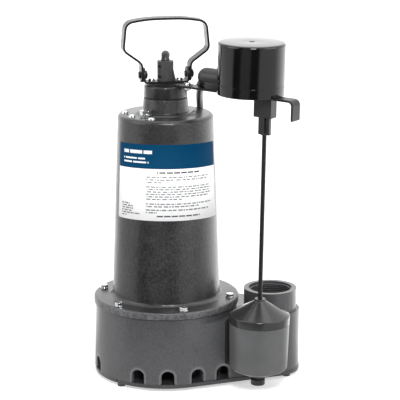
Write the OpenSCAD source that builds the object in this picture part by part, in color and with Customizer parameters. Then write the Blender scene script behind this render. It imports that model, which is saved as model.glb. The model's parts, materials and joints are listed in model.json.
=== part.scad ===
// Submersible sump pump with a vertical float switch and a top-facing threaded discharge.
// Origin: the motor axis on the floor under the feet. +X to the discharge, -Y to the front, +Z up.

/* [Base] */
// Height of the feet below the bottom plate
foot_h = 4; // [2.5:0.5:8]
// Diameter of each foot
foot_d = 9; // [6:0.5:12]
// Diameter of the pad under the middle of the bottom plate
pad_d = 18; // [12:1:30]
// Thickness of the bottom plate
plate_t = 4.3; // [3:0.1:8]
// Radius of the volute at its foot
volute_r = 81.5; // [79:0.5:90]
// Draft of the volute wall, top radius smaller by this
volute_draft = 2; // [0.5:0.5:3]
// Height of the volute from the bottom plate to the gasket
volute_h = 73.3; // [70:0.5:95]
// Wall of the suction chamber
volute_wall = 7; // [5:0.5:9]
// Height of the suction chamber inside the volute foot
suction_h = 19; // [17:0.5:24]
// Thickness of the floor between the suction and impeller chambers
eye_floor_t = 5; // [3:0.5:8]
// Radius of the impeller eye
eye_r = 19; // [15:0.5:24]
// Distance from the volute's outside to its spiral where that begins
spiral_wall0 = 22.5; // [21.5:0.5:23.5]
// Distance from the volute's outside to its spiral where that ends
spiral_wall1 = 14.5; // [13.5:0.5:17.5]
// Width of each inlet arch
arch_w = 16; // [10:0.5:18]
// Height of each inlet arch
arch_h = 15.5; // [12:0.5:16.5]

/* [Discharge] */
// Distance of the discharge axis from the motor axis
discharge_x = 117; // [112:1:130]
// Offset of the discharge axis to the back
discharge_y = -6; // [-10:1:4]
// Bore of the 1-1/2 inch pipe thread
discharge_bore_d = 48.3; // [40:0.1:50]
// Length of the threaded stretch
discharge_thread_l = 26; // [18:0.5:28]
// Bore below the threaded stretch
discharge_low_d = 44; // [38:0.5:45]
// Outer radius of the discharge collar
collar_r = 29.6; // [28:0.2:31]
// Height of the collar above the discharge body
collar_h = 23.6; // [15:0.2:40]
// Radius of the discharge body below the collar
boss_r = 33; // [32:0.5:36]
// Height of the discharge body above the bottom plate
boss_h = 66.7; // [60:0.1:69]
// Bore of the passage from the volute to the discharge
passage_d = 36; // [28:1:38]

/* [Motor housing] */
// Thickness of the gasket under the housing flange
gasket_t = 0.8; // [0.5:0.1:2]
// Thickness of the housing flange
flange_t = 8.1; // [6:0.1:12]
// Rounding of the flange's upper edge
flange_round = 2.5; // [1:0.5:4]
// Radius of the barrel where it leaves the flange
barrel_r0 = 60; // [58:0.5:62]
// Radius of the barrel under its shoulder
barrel_r1 = 53; // [52.5:0.5:56]
// Height of the barrel above the flange
barrel_h = 206.5; // [195:0.5:260]
// Rounding of the barrel's shoulder
shoulder_round = 5; // [2:0.5:6]
// Radius of the motor cavity
cavity_r = 47.5; // [46:0.5:48]
// Thickness of the barrel's top wall
top_wall = 13; // [12:0.5:18]
// Radius of the raised pad round the neck
pad_r = 31; // [29:0.5:33]
// Height of the raised pad
pad_h = 2.5; // [1:0.5:4]
// Radius of the neck at its foot
neck_r = 25.3; // [24.5:0.1:27]
// Height of the neck
neck_h = 17.5; // [12:0.5:30]
// Radius of the neck cap
cap_r = 23.9; // [23:0.1:24.5]
// Height of the neck cap
cap_h = 13.5; // [11:0.5:20]
// Thickness of the seal under the neck cap
cap_seal_t = 0.6; // [0.4:0.1:1.5]
// Number of flange bolts
bolt_count = 6; // [4:1:8]
// Diameter of a flange bolt
bolt_d = 6; // [4:0.5:6]
// Distance of the flange bolts from the rim of the flange
bolt_inset = 8; // [7:0.25:9]
// Hexagon size of a flange bolt, across corners
bolt_head_d = 9.5; // [9:0.5:12]
// Height of a flange bolt's head
bolt_head_h = 4.2; // [3:0.1:6]

/* [Motor] */
// Shaft diameter, half an inch
shaft_d = 12.7; // [10:0.1:14]
// Running clearance of the shaft in its bearings, on the radius
shaft_fit = 0.05; // [0.02:0.01:0.09]
// Height of the rotor core and the stator
core_h = 75; // [50:1:95]
// Radius of the rotor core
rotor_r = 24.6; // [20:0.2:28]
// Air gap between the rotor and the stator
air_gap = 0.5; // [0.3:0.1:1]
// Height of the winding heads above and below the stator
winding_h = 25; // [15:1:32]
// Outer diameter of the lower bearing
lower_bearing_d = 35; // [30:1:38]
// Outer diameter of the upper bearing
upper_bearing_d = 32; // [26:1:33]
// Height of the upper bearing
bearing_h = 9; // [8:0.5:10]
// Gap between the impeller and the spiral where that begins
impeller_gap = 5; // [4:0.5:11]
// Number of impeller vanes
vane_count = 6; // [4:1:8]
// Thickness of an impeller vane
vane_t = 4; // [3:0.5:6]
// Gap between the vanes and the chamber floor
vane_gap = 2.7; // [1.5:0.1:5]
// Thickness of the impeller's back shroud
shroud_t = 4; // [3:0.5:6]

/* [Straps and handle] */
// Thickness of the strap steel
strap_t = 2.3; // [1.5:0.1:3]
// Width of the handle and its bracket
handle_w = 16; // [12:0.5:20]
// Turn of the handle about the motor axis
handle_yaw = 12; // [0:1:20]
// Half span between the inner faces of the bracket's ears
ear_span = 23.2; // [22.6:0.1:26]
// Height of the handle pivot above the bracket
pivot_rise = 6.8; // [6.5:0.1:12]
// Diameter of the pivot bolts
pivot_d = 5; // [4:0.1:6]
// Running clearance of the pivot bolts, on the radius
pivot_fit = 0.08; // [0.03:0.01:0.09]
// Gap between an ear and the leg of the handle beside it
ear_gap = 0.3; // [0.2:0.05:1]
// Height above the pivot where the legs start to flare
flare_low = 13; // [12:0.5:16]
// Height above the pivot where the flare ends
flare_high = 28; // [24:0.5:34]
// Half span of the handle at the end of the flare
grip_span = 47.5; // [40:0.5:60]
// Half span of the handle at its upper corners
corner_span = 44.5; // [36:0.5:56]
// Height of the handle's crown above the pivot
handle_h = 63; // [58:0.5:90]

/* [Switch] */
// Turn of the switch arm about the motor axis, negative to the front
arm_yaw = -34; // [-40:1:-28]
// Sag of the switch arm beyond the neck cap
arm_sag = 1.2; // [0:0.1:2]
// Width of the switch arm
arm_w = 15; // [13:0.5:20]
// Length of the switch arm from the motor axis
arm_len = 168; // [160:1:190]
// Drop of the tab at the end of the arm
tab_drop = 22; // [12:0.5:35]
// Distance of the switch from the motor axis
switch_x = 111; // [109:0.5:116]
// Diameter of the switch cap
switch_d = 72.8; // [68:0.2:76]
// Height of the switch cap
switch_h = 56; // [50:0.5:70]
// Wall of the switch cap
switch_wall = 3; // [2:0.5:5]
// Rounding of the switch cap's upper edge
switch_round = 3; // [1.5:0.5:5]
// Thickness of the switch base plate
switch_base_t = 4; // [3:0.5:6]
// Height of the cable gland's axis above the arm
switch_gland_z = 12; // [11:0.5:16]
// Diameter of the cable gland's nut
switch_gland_d = 20; // [15:0.5:21]

/* [Float and rod] */
// Distance of the float rod from the motor axis
rod_x = 129.5; // [127:0.5:132]
// Diameter of the rod, 3/16 inch
rod_d = 4.76; // [4:0.1:6]
// Height of the rod's lower end above the floor
rod_low = 5.6; // [4:0.1:12]
// Length of the guide block along the arm
guide_l = 21.7; // [20:0.1:26]
// Width of the guide block
guide_w = 11.6; // [11.2:0.1:14]
// Height of the guide block
guide_h = 20.5; // [18:0.5:26]
// Length of the ribbed coupler
coupler_h = 19; // [12:0.5:24]
// Longer width of the coupler's cross
coupler_l = 13.6; // [11:0.1:14]
// Shorter width of the coupler's cross
coupler_w = 8.6; // [8:0.1:8.8]
// Clearance of the coupler inside the guide, all round
guide_fit = 0.4; // [0.3:0.05:0.5]
// Travel of the rod
rod_travel = 10; // [6:0.5:12]
// Diameter of the rod's lower stop
stop_d = 15.8; // [13:0.2:18]
// Height of the rod's lower stop
stop_h = 9; // [6:0.5:12]
// Radius of the float at its shoulder
float_r = 33.2; // [28:0.2:33.4]
// Radius of the float above its lower cone
float_low_r = 31.8; // [27:0.2:32]
// Height of the lower cone
float_cone_h = 11; // [6:0.5:16]
// Height of the float's body from the lower cone to the shoulder
float_body_h = 60.5; // [40:0.5:80]
// Height of the upper cone
float_top_h = 16; // [12:0.5:30]
// Height of the band above the float's seam
float_band_h = 9; // [4:0.5:12]
// Wall of the hollow float
float_wall = 2; // [1.5:0.1:3]
// Clearance of the rod in the float, on the radius
float_fit = 0.45; // [0.35:0.05:0.8]
// Gap between the float and the recess in the volute
recess_gap = 4; // [2:0.2:5]

/* [Cords] */
// Diameter of the two mains cords
cord_d = 7.6; // [7:0.1:8]
// Radius of the outer loop of a coil
coil_r = 59.5; // [58:0.5:60]
// Step from loop to loop of a coil
coil_pitch = 8.1; // [8:0.05:8.2]
// Step from layer to layer of a coil
coil_step = 8.2; // [8.1:0.05:8.3]
// Loops of the motor cord's coil
motor_loops = 7; // [5:1:7]
// Loops of the switch cord's coil
switch_loops = 6.75; // [4.75:1:6.75]
// Length of a plug's body without its blades
plug_l = 50; // [40:1:60]

/* [Hidden] */
$fn = 64;
EPS = 0.01;
LAP = 0.3;
CUT = 1;

// Levels, from the floor up
z_plate = foot_h;
z_skirt = z_plate + plate_t;
z_eye_floor = z_skirt + suction_h;
z_chamber = z_eye_floor + eye_floor_t;
z_volute_top = z_skirt + volute_h;
z_boss_top = z_skirt + boss_h;
z_mouth = z_boss_top + collar_h;
z_flange = z_volute_top + gasket_t;
z_flange_top = z_flange + flange_t;
z_barrel_top = z_flange_top + barrel_h;
z_cavity_top = z_barrel_top - top_wall;
z_neck_top = z_barrel_top + neck_h;
z_cap = z_neck_top + cap_seal_t;
z_cap_top = z_cap + cap_h;
z_arm_top = z_cap_top + strap_t;
z_bracket_top = z_arm_top + strap_t;
z_pivot = z_bracket_top + pivot_rise;
z_thread = z_mouth - discharge_thread_l;

// Base details
SLOT_COUNT = 15;
SLOT_STEP = 360 / SLOT_COUNT;
SLOT_PHASE = 2;
POST_SLOTS = [3, 8, 13];
SKIRT_SLOTS = [for (i = [0:SLOT_COUNT - 1]) if (i < 2 || i > 5) i];
fairing_slot_x = 38;
post_r = 6.5;
post_circle_r = volute_r - volute_wall - post_r + 2.5;
plate_screw_d = 5;
plate_head_d = 9;
plate_head_h = foot_h - 1;
foot_turn = 5.6;
front_foot = [18.3, -17.7];
foot_circle_r = volute_r - foot_d / 2 - 1;
plate_inset = 0.5;
notch_turn = 4.5;
notch_r = 1.6;
// Turn of the discharge to the front, and half the angle between the flat walls' normals
discharge_turn = atan(-discharge_y / discharge_x);
fairing_turn = acos((volute_r - volute_draft - boss_r) / norm([discharge_x, discharge_y]));
passage_z = z_chamber + passage_d / 2 + 0.5;
seal_drop = 10.4;
z_seal_plate = z_flange - seal_drop;
chamber_roof = z_seal_plate - 2;
spiral_r0 = volute_r - spiral_wall0;
spiral_r1 = volute_r - spiral_wall1;
impeller_r = spiral_r0 - impeller_gap;
seal_r = spiral_r0 + 3;
seal_fit = 0.1;
bolt_fit = 0.2;
bolt_phase = 16;
bolt_circle_r = volute_r - bolt_inset;
bolt_depth = 14;
bolt_washer_h = 1.2;

// Motor details
shaft_r = shaft_d / 2;
z_shaft_low = z_chamber + 1.5;
z_shaft_top = z_cavity_top + bearing_h - 0.3;
z_lower_bearing = z_flange - 2;
lower_bearing_h = 11;
spigot_h = 6;
z_core = z_flange_top + 40;
stator_r0 = rotor_r + air_gap;
shaft_seal_r = 14;
shaft_seal_h = 6;
hub_r = 14;
hub_h = 4;
z_vanes = z_chamber + vane_gap;
vanes_h = z_seal_plate - z_vanes - shroud_t - hub_h - 2;
impeller_nut_h = 7;
impeller_nut_d = 17;
vane_arc_r = 42;
plug_thread_d = 8;
plug_depth = 6;
plug_head_d = 13.5;
SHOULDER_SCREWS = [[-44.5, -4], [-36, -26.5], [-14.5, -42]];
wire_hole_r = 3.5;
wire_hole_x = cavity_r - 27;

// Neck, straps and handle details
neck_bore_r = 20;
neck_draft = 1.1;
gland_d = 18;
gland_h = 21.8;
gland_bore_d = 10;
boot_d = 9;
boot_bend_r = 7.5;
boot_turn = 110;
boot_tail = 20;
boot_sink = 2;
screw_x = 15.5;
screw_d = 4;
screw_head_d = 7.5;
screw_head_h = 2.6;
screw_fit = 0.15;
leg_span = ear_span + strap_t + ear_gap;
pivot_head_d = 8.5;
pivot_head_h = 1.8;
pivot_nut_d = 9;
pivot_nut_h = 2.6;
pivot_end = 0.6;
disc_r = 20;
crown_drop = 5.2;

// Switch, rod and float details
arm_bend_x = 22;
arm_bend_r = 5;
ground_x = arm_bend_x + 8;
switch_gap = 0.2;
STUDS = [switch_x - 24, switch_x + 1];
stud_head_h = 2.5;
cap_seam_z = 10.6;
gland_len = 20;
gland_dome_x = switch_x - switch_d / 2 - gland_len;
cord_boot_len = 26;
cord_boot_az = 140;
cord_boot_dip = 27;
rod_hole_fit = 0.3;
rod_top = 22;
magnet_d = 12;
magnet_h = 5;
rod_len = z_arm_top - rod_low - (rod_x - arm_bend_x) * sin(arm_sag);
rod_foot_r = arm_bend_x + (rod_x - arm_bend_x) * cos(arm_sag) - rod_len * sin(arm_sag);
float_apex_r = 6;
stop_collar_r = 5.5;
float_gap = 0.1;
coupler_t = 4;

// Heights along the rod, from its lower end
z_stop_top = stop_h;
z_float = z_stop_top + float_gap;
z_seam = z_float + float_cone_h + float_body_h - float_band_h;
z_coupler = rod_len - strap_t - guide_h - coupler_h;
z_magnet = rod_len + switch_base_t + float_gap;

// Cords
cord_r = cord_d / 2;
CORD_SIDES = 8;
COIL_SIDES = 6;
COIL_RINGS = 24;
coil_c = [0, 162];
layer_z = [for (i = [0:3]) cord_r + i * coil_step];
motor_a0 = 300;
switch_a0 = 0;
stub = 8;
plug_r = cord_r + coil_step;
// Motor cord, from its boot over the back of the housing and down to the coil
MOTOR_ROUTE = [
  [0, 44, 345], [-1, 57, 332], [-2, 66, 313], [-4, 71, 290], [-7, 74, 260],
  [-10, 77, 225], [-13, 80, 190], [-15, 83, 155], [-16, 86, 120], [-16, 88, 92], [-15, 88, 62],
  [-12, 88, 36], [-4, 92, 16], [8, 98, 6]
];
// Switch cord, from its boot past the neck and down behind the housing to the coil
SWITCH_ROUTE = [
  [38, 6, 323], [37.5, 20, 315], [37.5, 33, 306], [38, 44, 294], [38, 52, 277], [38, 57, 255],
  [38, 61, 225], [38, 66, 190], [38, 73, 150], [38, 81, 115], [40, 88, 88], [46, 97, 64],
  [53, 110, 44], [58, 127, 32]
];
// Switch cord, from its coil to its plug
SWITCH_TAIL = [[22, 102.5, 18.8], [38, 102.5, 13.8]];
MOTOR_PLUG_GAP = 22;
SWITCH_PLUG_X = 60;
motor_a1 = motor_a0 + 360 * motor_loops;
switch_a1 = switch_a0 + 360 * switch_loops;
motor_loop_line = coil_line(motor_a0, motor_loops, layer_z[0], layer_z[1]);
switch_loop_line = coil_line(switch_a0, switch_loops, layer_z[3], layer_z[2]);
motor_coil_line = with_stubs(motor_loop_line, motor_a0, motor_a1);
switch_coil_line = with_stubs(switch_loop_line, switch_a0, switch_a1);
motor_tail_end = last(motor_coil_line) + MOTOR_PLUG_GAP * heading(motor_a1);
switch_tail_end = [SWITCH_PLUG_X, last(switch_coil_line).y, plug_r];
echo(motor_coil_gap = loop_gap(motor_loop_line), switch_coil_gap = loop_gap(switch_loop_line));

// Ends of the boots, where the cords leave them
motor_exit_dir = [0, sin(boot_turn), cos(boot_turn)];
motor_exit = [0, boot_bend_r * (1 - cos(boot_turn)),
  z_bracket_top + gland_h - boot_sink + boot_bend_r * sin(boot_turn)] + boot_tail * motor_exit_dir;
switch_exit_dir = from_arm([cos(cord_boot_dip) * cos(cord_boot_az),
  cos(cord_boot_dip) * sin(cord_boot_az), -sin(cord_boot_dip)]);
switch_exit = [0, 0, z_arm_top] + turn_z([arm_bend_x, 0, 0], arm_yaw)
  + from_arm([gland_dome_x - arm_bend_x, 0, switch_gland_z]) + cord_boot_len * switch_exit_dir;

IRON = "#3b3c3f";
PLATE_IRON = "#323336";
BLACK_STEEL = "#1d1d1f";
ZINC = "#c9cbcc";
GASKET = "#1a1a1a";
PLASTIC = "#232325";
GLOSS = "#151517";
STEEL = "#8f9296";
COPPER = "#b06a35";
CORD_BLACK = "#161617";

// ---------- helpers ----------

function unit(v) = v / norm(v);

// Arc of n steps that rounds the corner p1 between p0 and p2 with radius r
function corner(p0, p1, p2, r, n = 5) =
  let(a = unit(p0 - p1), b = unit(p2 - p1), half = acos(a * b) / 2)
  let(c = p1 + unit(a + b) * r / sin(half))
  let(s = p1 + a * r / tan(half) - c, e = p1 + b * r / tan(half) - c)
  let(a0 = atan2(s.y, s.x), turn = (atan2(e.y, e.x) - a0 + 540) % 360 - 180)
  [for (i = [0:n]) c + r * [cos(a0 + turn * i / n), sin(a0 + turn * i / n)]];

// Open line through pts, each inner corner rounded with its radius in r
function rounded(pts, r) = [
  pts[0],
  for (i = [1:len(pts) - 2]) each corner(pts[i - 1], pts[i], pts[i + 1], r[i - 1]),
  pts[len(pts) - 1]
];

// Outline of a strip of thickness t along the flat line p
function strip(p, t) =
  let(n = len(p) - 1)
  let(d = [for (i = [0:n]) unit(
    (i > 0 ? unit(p[i] - p[i - 1]) : [0, 0]) + (i < n ? unit(p[i + 1] - p[i]) : [0, 0]))])
  let(side = [for (i = [0:n]) [-d[i].y, d[i].x] * t / 2])
  concat([for (i = [0:n]) p[i] + side[i]], [for (i = [n:-1:0]) p[i] - side[i]]);

// Smooth line through pts, k steps to each stretch
function smooth(pts, k) =
  let(n = len(pts) - 1)
  [
    for (i = [0:n - 1], j = [0:k - 1])
      let(a = pts[max(i - 1, 0)], b = pts[i], c = pts[i + 1], d = pts[min(i + 2, n)], t = j / k)
      0.5 * (2 * b + (c - a) * t + (2 * a - 5 * b + 4 * c - d) * t * t
        + (3 * b - a - 3 * c + d) * t * t * t),
    pts[n]
  ];

// Round tube of radius r along the line p, its rings turned from the direction ref
module tube(p, r, sides, ref) {
  n = len(p) - 1;
  dirs = [for (i = [0:n]) unit(p[min(i + 1, n)] - p[max(i - 1, 0)])];
  points = [
    for (i = [0:n])
      let(t = dirs[i], u = unit(ref - (ref * t) * t), v = cross(t, u))
      for (k = [0:sides - 1])
        p[i] + r * (cos(360 * k / sides) * u + sin(360 * k / sides) * v)
  ];
  walls = [
    for (i = [0:n - 1], k = [0:sides - 1])
      let(a = i * sides + k, b = i * sides + (k + 1) % sides)
      each [[a, a + sides, b], [b, a + sides, b + sides]]
  ];
  first = [for (k = [1:sides - 2]) [0, k, k + 1]];
  last = [for (k = [1:sides - 2]) [n * sides, n * sides + k + 1, n * sides + k]];
  polyhedron(points, concat(walls, first, last));
}

// Plan of two circles joined by their tangents, the second round the discharge
module teardrop_plan(r1, r2) {
  d = norm([discharge_x, discharge_y]);
  lean = atan2(discharge_y, discharge_x);
  a = acos((r1 - r2) / d);
  circle(r1);
  translate([discharge_x, discharge_y]) circle(r2);
  polygon([
    r1 * [cos(lean + a), sin(lean + a)],
    r1 * [cos(lean - a), sin(lean - a)],
    [discharge_x, discharge_y] + r2 * [cos(lean - a), sin(lean - a)],
    [discharge_x, discharge_y] + r2 * [cos(lean + a), sin(lean + a)]
  ]);
}

// Children at radius r and angle a from the front, counted towards the discharge
module around(a, r) {
  rotate([0, 0, a - 90]) translate([r, 0, 0]) children();
}

// Solid of revolution from the outline pts
module revolve(pts) {
  rotate_extrude() polygon(pts);
}

module ring(r1, r0, h) {
  difference() {
    cylinder(h = h, r = r1);
    translate([0, 0, -CUT]) cylinder(h = h + 2 * CUT, r = r0);
  }
}

// Hexagon head or nut
module hexagon(d, h) {
  cylinder(h = h, d = d, $fn = 6);
}

// Screw with a slotted pan head, its seat at z = 0 and its shank below
module pan_screw(d, head_d, head_h, len) {
  translate([0, 0, -len]) cylinder(h = len, d = d);
  difference() {
    cylinder(h = head_h, d1 = head_d, d2 = head_d * 0.8);
    translate([-head_d, -head_d * 0.08, head_h * 0.55]) cube([2 * head_d, head_d * 0.16, head_h]);
  }
}

// Frame of the switch arm: x along it from the motor axis, z up from its top face
module arm_frame() {
  translate([0, 0, z_arm_top]) rotate([0, 0, arm_yaw]) translate([arm_bend_x, 0, 0])
    rotate([0, arm_sag, 0]) translate([-arm_bend_x, 0, 0]) children();
}

// Frame of the handle: x along the pivot axis, z = 0 at the pivot
module handle_frame() {
  translate([0, 0, z_pivot]) rotate([0, 0, handle_yaw]) children();
}

// ---------- base ----------

// Arches all round the skirt, and one in each flat wall that leads to the discharge
module slot_row() {
  for (i = SKIRT_SLOTS)
    if (len(search(i, POST_SLOTS)) == 0)
      around(SLOT_PHASE + i * SLOT_STEP, volute_r - volute_wall - 6) inlet_arch();
  for (m = [-1, 1])
    around(90 - discharge_turn - m * fairing_turn, volute_r - volute_wall - 6)
      translate([0, m * fairing_slot_x, 0]) inlet_arch();
}

module inlet_arch() {
  translate([0, 0, z_skirt - CUT]) rotate([90, 0, 90]) linear_extrude(2 * volute_wall + 12) {
    translate([-arch_w / 2, 0]) square([arch_w, arch_h - arch_w / 2 + CUT]);
    translate([0, arch_h - arch_w / 2 + CUT]) circle(d = arch_w);
  }
}

module at_posts() {
  for (i = POST_SLOTS) around(SLOT_PHASE + i * SLOT_STEP, post_circle_r) children();
}

module base_plate() {
  color(PLATE_IRON) {
    difference() {
      translate([0, 0, z_plate]) linear_extrude(plate_t)
        teardrop_plan(volute_r - plate_inset, boss_r + plate_inset);
      at_posts() cylinder(h = 2 * z_skirt, d = plate_screw_d + 2 * bolt_fit);
      around(SLOT_PHASE + POST_SLOTS[2] * SLOT_STEP + notch_turn, volute_r)
        cylinder(h = 2 * z_skirt, r = notch_r);
    }
    for (i = [POST_SLOTS[1], POST_SLOTS[2]])
      around(SLOT_PHASE + i * SLOT_STEP + foot_turn, foot_circle_r)
        cylinder(h = z_plate + LAP, d = foot_d);
    translate([discharge_x + front_foot.x, discharge_y + front_foot.y, 0])
      cylinder(h = z_plate + LAP, d = foot_d);
    cylinder(h = z_plate + LAP, d = pad_d);
  }
}

module plate_screws() {
  color(ZINC) at_posts() translate([0, 0, z_plate]) rotate([180, 0, 0])
    pan_screw(plate_screw_d, plate_head_d, plate_head_h, plate_t + 10);
}

// Chamber outline that widens steadily towards the passage
module spiral_plan() {
  polygon([
    for (a = [0:10:350])
      (spiral_r0 + (spiral_r1 - spiral_r0) * a / 350) * [cos(-a - 10), sin(-a - 10)]
  ]);
}

// Upright space round the float's lowest place, its floor coned like the float's foot
module float_well(grow) {
  slope = float_cone_h / (float_low_r - stop_d / 2);
  r = float_r + recess_gap + grow;
  z0 = rod_low + z_float - recess_gap / 2 - grow * norm([1, slope]);
  rotate([0, 0, arm_yaw]) translate([rod_foot_r, 0, 0])
    revolve([[0, z0], [stop_d / 2, z0], [r, z0 + slope * (r - stop_d / 2)], [r, z_mouth], [0, z_mouth]]);
}

module volute() {
  color(IRON) difference() {
    union() {
      translate([0, 0, z_skirt]) cylinder(h = volute_h, r1 = volute_r, r2 = volute_r - volute_draft);
      difference() {
        translate([0, 0, z_skirt]) linear_extrude(boss_h) teardrop_plan(volute_r - volute_draft, boss_r);
        float_well(0);
      }
      translate([discharge_x, discharge_y, z_boss_top - EPS]) cylinder(h = collar_h + EPS, r = collar_r);
    }
    difference() {
      translate([0, 0, z_skirt - CUT]) linear_extrude(suction_h + CUT)
        teardrop_plan(volute_r - volute_draft - volute_wall, boss_r - volute_wall);
      at_posts() cylinder(h = z_eye_floor + CUT, r = post_r);
      float_well(volute_wall);
    }
    at_posts() translate([0, 0, z_skirt - CUT]) cylinder(h = 11 + CUT, d = plate_screw_d + bolt_fit);
    slot_row();
    translate([0, 0, z_eye_floor - CUT]) cylinder(h = eye_floor_t + 2 * CUT, r = eye_r);
    translate([0, 0, z_chamber]) linear_extrude(chamber_roof - z_chamber) spiral_plan();
    translate([0, 0, chamber_roof - CUT]) cylinder(h = z_volute_top, r = seal_r);
    translate([spiral_r0 - 12, discharge_y, passage_z]) rotate([0, 90, 0])
      cylinder(h = discharge_x - spiral_r0 + 12, d = passage_d);
    translate([discharge_x, discharge_y, z_chamber]) cylinder(h = z_mouth, d = discharge_low_d);
    translate([discharge_x, discharge_y, z_thread]) cylinder(h = z_mouth, d = discharge_bore_d);
    at_bolts() translate([0, 0, z_volute_top - bolt_depth - CUT])
      cylinder(h = bolt_depth + 2 * CUT, d = bolt_d + bolt_fit);
  }
}

// ---------- motor housing ----------

module at_bolts() {
  for (i = [0:bolt_count - 1]) around(bolt_phase + i * 360 / bolt_count, bolt_circle_r) children();
}

module casing_gasket() {
  color(GASKET) difference() {
    translate([0, 0, z_volute_top]) ring(volute_r - volute_draft, seal_r + 0.5, gasket_t);
    at_bolts() cylinder(h = z_flange_top, d = bolt_d + 2 * bolt_fit);
  }
}

module housing_outside() {
  foot_fillet = corner([barrel_r0 + 20, z_flange_top], [barrel_r0 + 0.3, z_flange_top],
    [barrel_r0, z_flange_top + 20], 4);
  shoulder = corner([barrel_r1, z_flange_top], [barrel_r1, z_barrel_top], [0, z_barrel_top],
    shoulder_round);
  rim = corner([volute_r, z_flange], [volute_r, z_flange_top], [0, z_flange_top], flange_round);
  revolve(concat(
    [[0, z_flange], [volute_r, z_flange]], rim, foot_fillet, shoulder,
    [[pad_r + pad_h, z_barrel_top], [pad_r, z_barrel_top + pad_h], [neck_r + 1, z_barrel_top + pad_h],
     [neck_r, z_barrel_top + pad_h + 1], [neck_r - neck_draft, z_neck_top], [0, z_neck_top]]
  ));
}

module motor_housing() {
  color(IRON) difference() {
    housing_outside();
    translate([0, 0, z_flange - CUT]) cylinder(h = z_cavity_top - z_flange + CUT, r = cavity_r);
    translate([0, 0, z_cavity_top - CUT]) cylinder(h = bearing_h + CUT, d = upper_bearing_d);
    translate([0, 0, z_barrel_top + pad_h]) cylinder(h = neck_h, r = neck_bore_r);
    translate([0, wire_hole_x, z_cavity_top - CUT]) cylinder(h = top_wall + pad_h + 3, r = wire_hole_r);
    at_bolts() cylinder(h = z_barrel_top, d = bolt_d + 2 * bolt_fit);
    at_oil_plug() translate([0, 0, -plug_depth]) cylinder(h = z_barrel_top, d = plug_thread_d);
    at_shoulder_screws() translate([0, 0, -plug_depth]) cylinder(h = z_barrel_top, d = screw_d);
  }
}

module flange_bolts() {
  color(ZINC) at_bolts() {
    translate([0, 0, z_volute_top - bolt_depth + CUT])
      cylinder(h = z_flange_top - z_volute_top + bolt_depth, d = bolt_d);
    translate([0, 0, z_flange_top]) cylinder(h = bolt_washer_h, d = bolt_head_d);
    translate([0, 0, z_flange_top + bolt_washer_h]) hexagon(bolt_head_d, bolt_head_h - bolt_washer_h);
  }
}

module at_oil_plug() {
  translate([-20.8, -27.2, z_barrel_top]) children();
}

module oil_plug() {
  color(ZINC) at_oil_plug() {
    translate([0, 0, -plug_depth]) cylinder(h = plug_depth + pad_h + CUT, d = plug_thread_d);
    translate([0, 0, pad_h]) cylinder(h = bolt_washer_h, d = plug_head_d + 0.5);
    translate([0, 0, pad_h + bolt_washer_h]) hexagon(plug_head_d, 4);
  }
}

module at_shoulder_screws() {
  for (p = SHOULDER_SCREWS) translate([p.x, p.y, z_barrel_top]) children();
}

module shoulder_screws() {
  color(ZINC) at_shoulder_screws() pan_screw(screw_d, screw_head_d, screw_head_h, plug_depth);
}

module seal_plate() {
  color(PLATE_IRON) difference() {
    union() {
      translate([0, 0, z_seal_plate]) cylinder(h = seal_drop, r = seal_r - seal_fit);
      translate([0, 0, z_flange - EPS]) cylinder(h = spigot_h + EPS, r = cavity_r - seal_fit);
    }
    cylinder(h = z_flange_top, r = shaft_r + 1.6);
    translate([0, 0, z_seal_plate - CUT]) cylinder(h = shaft_seal_h + CUT, r = shaft_seal_r);
    translate([0, 0, z_lower_bearing]) cylinder(h = lower_bearing_h, d = lower_bearing_d);
  }
}

module shaft_seal() {
  color(GASKET) translate([0, 0, z_seal_plate]) ring(shaft_seal_r, shaft_r + shaft_fit, shaft_seal_h);
}

module bearing(d, h) {
  color(STEEL) ring(d / 2, shaft_r + shaft_fit, h);
}

module lower_bearing() {
  translate([0, 0, z_lower_bearing]) bearing(lower_bearing_d, lower_bearing_h);
}

module upper_bearing() {
  translate([0, 0, z_cavity_top]) bearing(upper_bearing_d, bearing_h);
}

// ---------- motor ----------

module stator_core() {
  color(STEEL) translate([0, 0, z_core]) ring(cavity_r, stator_r0, core_h);
}

module winding_head(h) {
  r0 = stator_r0 + 3;
  r1 = cavity_r - 4;
  revolve(concat(
    [[r0, 0]], corner([r0, 0], [r0, h], [r1, h], 5), corner([r0, h], [r1, h], [r1, 0], 5), [[r1, 0]]
  ));
}

module stator_windings() {
  color(COPPER) {
    translate([0, 0, z_core + core_h]) winding_head(winding_h);
    translate([0, 0, z_core]) rotate([180, 0, 0]) winding_head(winding_h);
  }
}

module overload_switch() {
  size = [22, 12, 26];
  color(PLASTIC) translate([-size.x / 2, 9.5 - cavity_r, z_cavity_top - size.z]) cube(size);
}

module rotor_core() {
  color(STEEL) translate([0, 0, z_core]) ring(rotor_r, shaft_r, core_h);
}

module shaft() {
  color(STEEL) translate([0, 0, z_shaft_low]) cylinder(h = z_shaft_top - z_shaft_low, r = shaft_r);
}

// One curved vane, a slice of a thin ring between the hub and the rim
module vane() {
  intersection() {
    translate([vane_arc_r * 0.72, vane_arc_r * 0.62, 0]) ring(vane_arc_r, vane_arc_r - vane_t, vanes_h);
    ring(impeller_r, hub_r - 1, vanes_h);
    translate([0, -impeller_r, 0]) cube([impeller_r, impeller_r + 8, vanes_h]);
  }
}

module impeller() {
  color(PLASTIC) difference() {
    union() {
      translate([0, 0, z_vanes]) {
        for (i = [0:vane_count - 1]) rotate([0, 0, i * 360 / vane_count]) vane();
        cylinder(h = vanes_h + shroud_t + hub_h, r = hub_r);
        translate([0, 0, vanes_h]) cylinder(h = shroud_t, r = impeller_r);
      }
    }
    cylinder(h = z_flange, r = shaft_r);
    translate([0, 0, z_vanes - CUT])
      cylinder(h = impeller_nut_h + CUT - vane_gap, r = impeller_nut_d / 2 + 0.5);
  }
}

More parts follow.
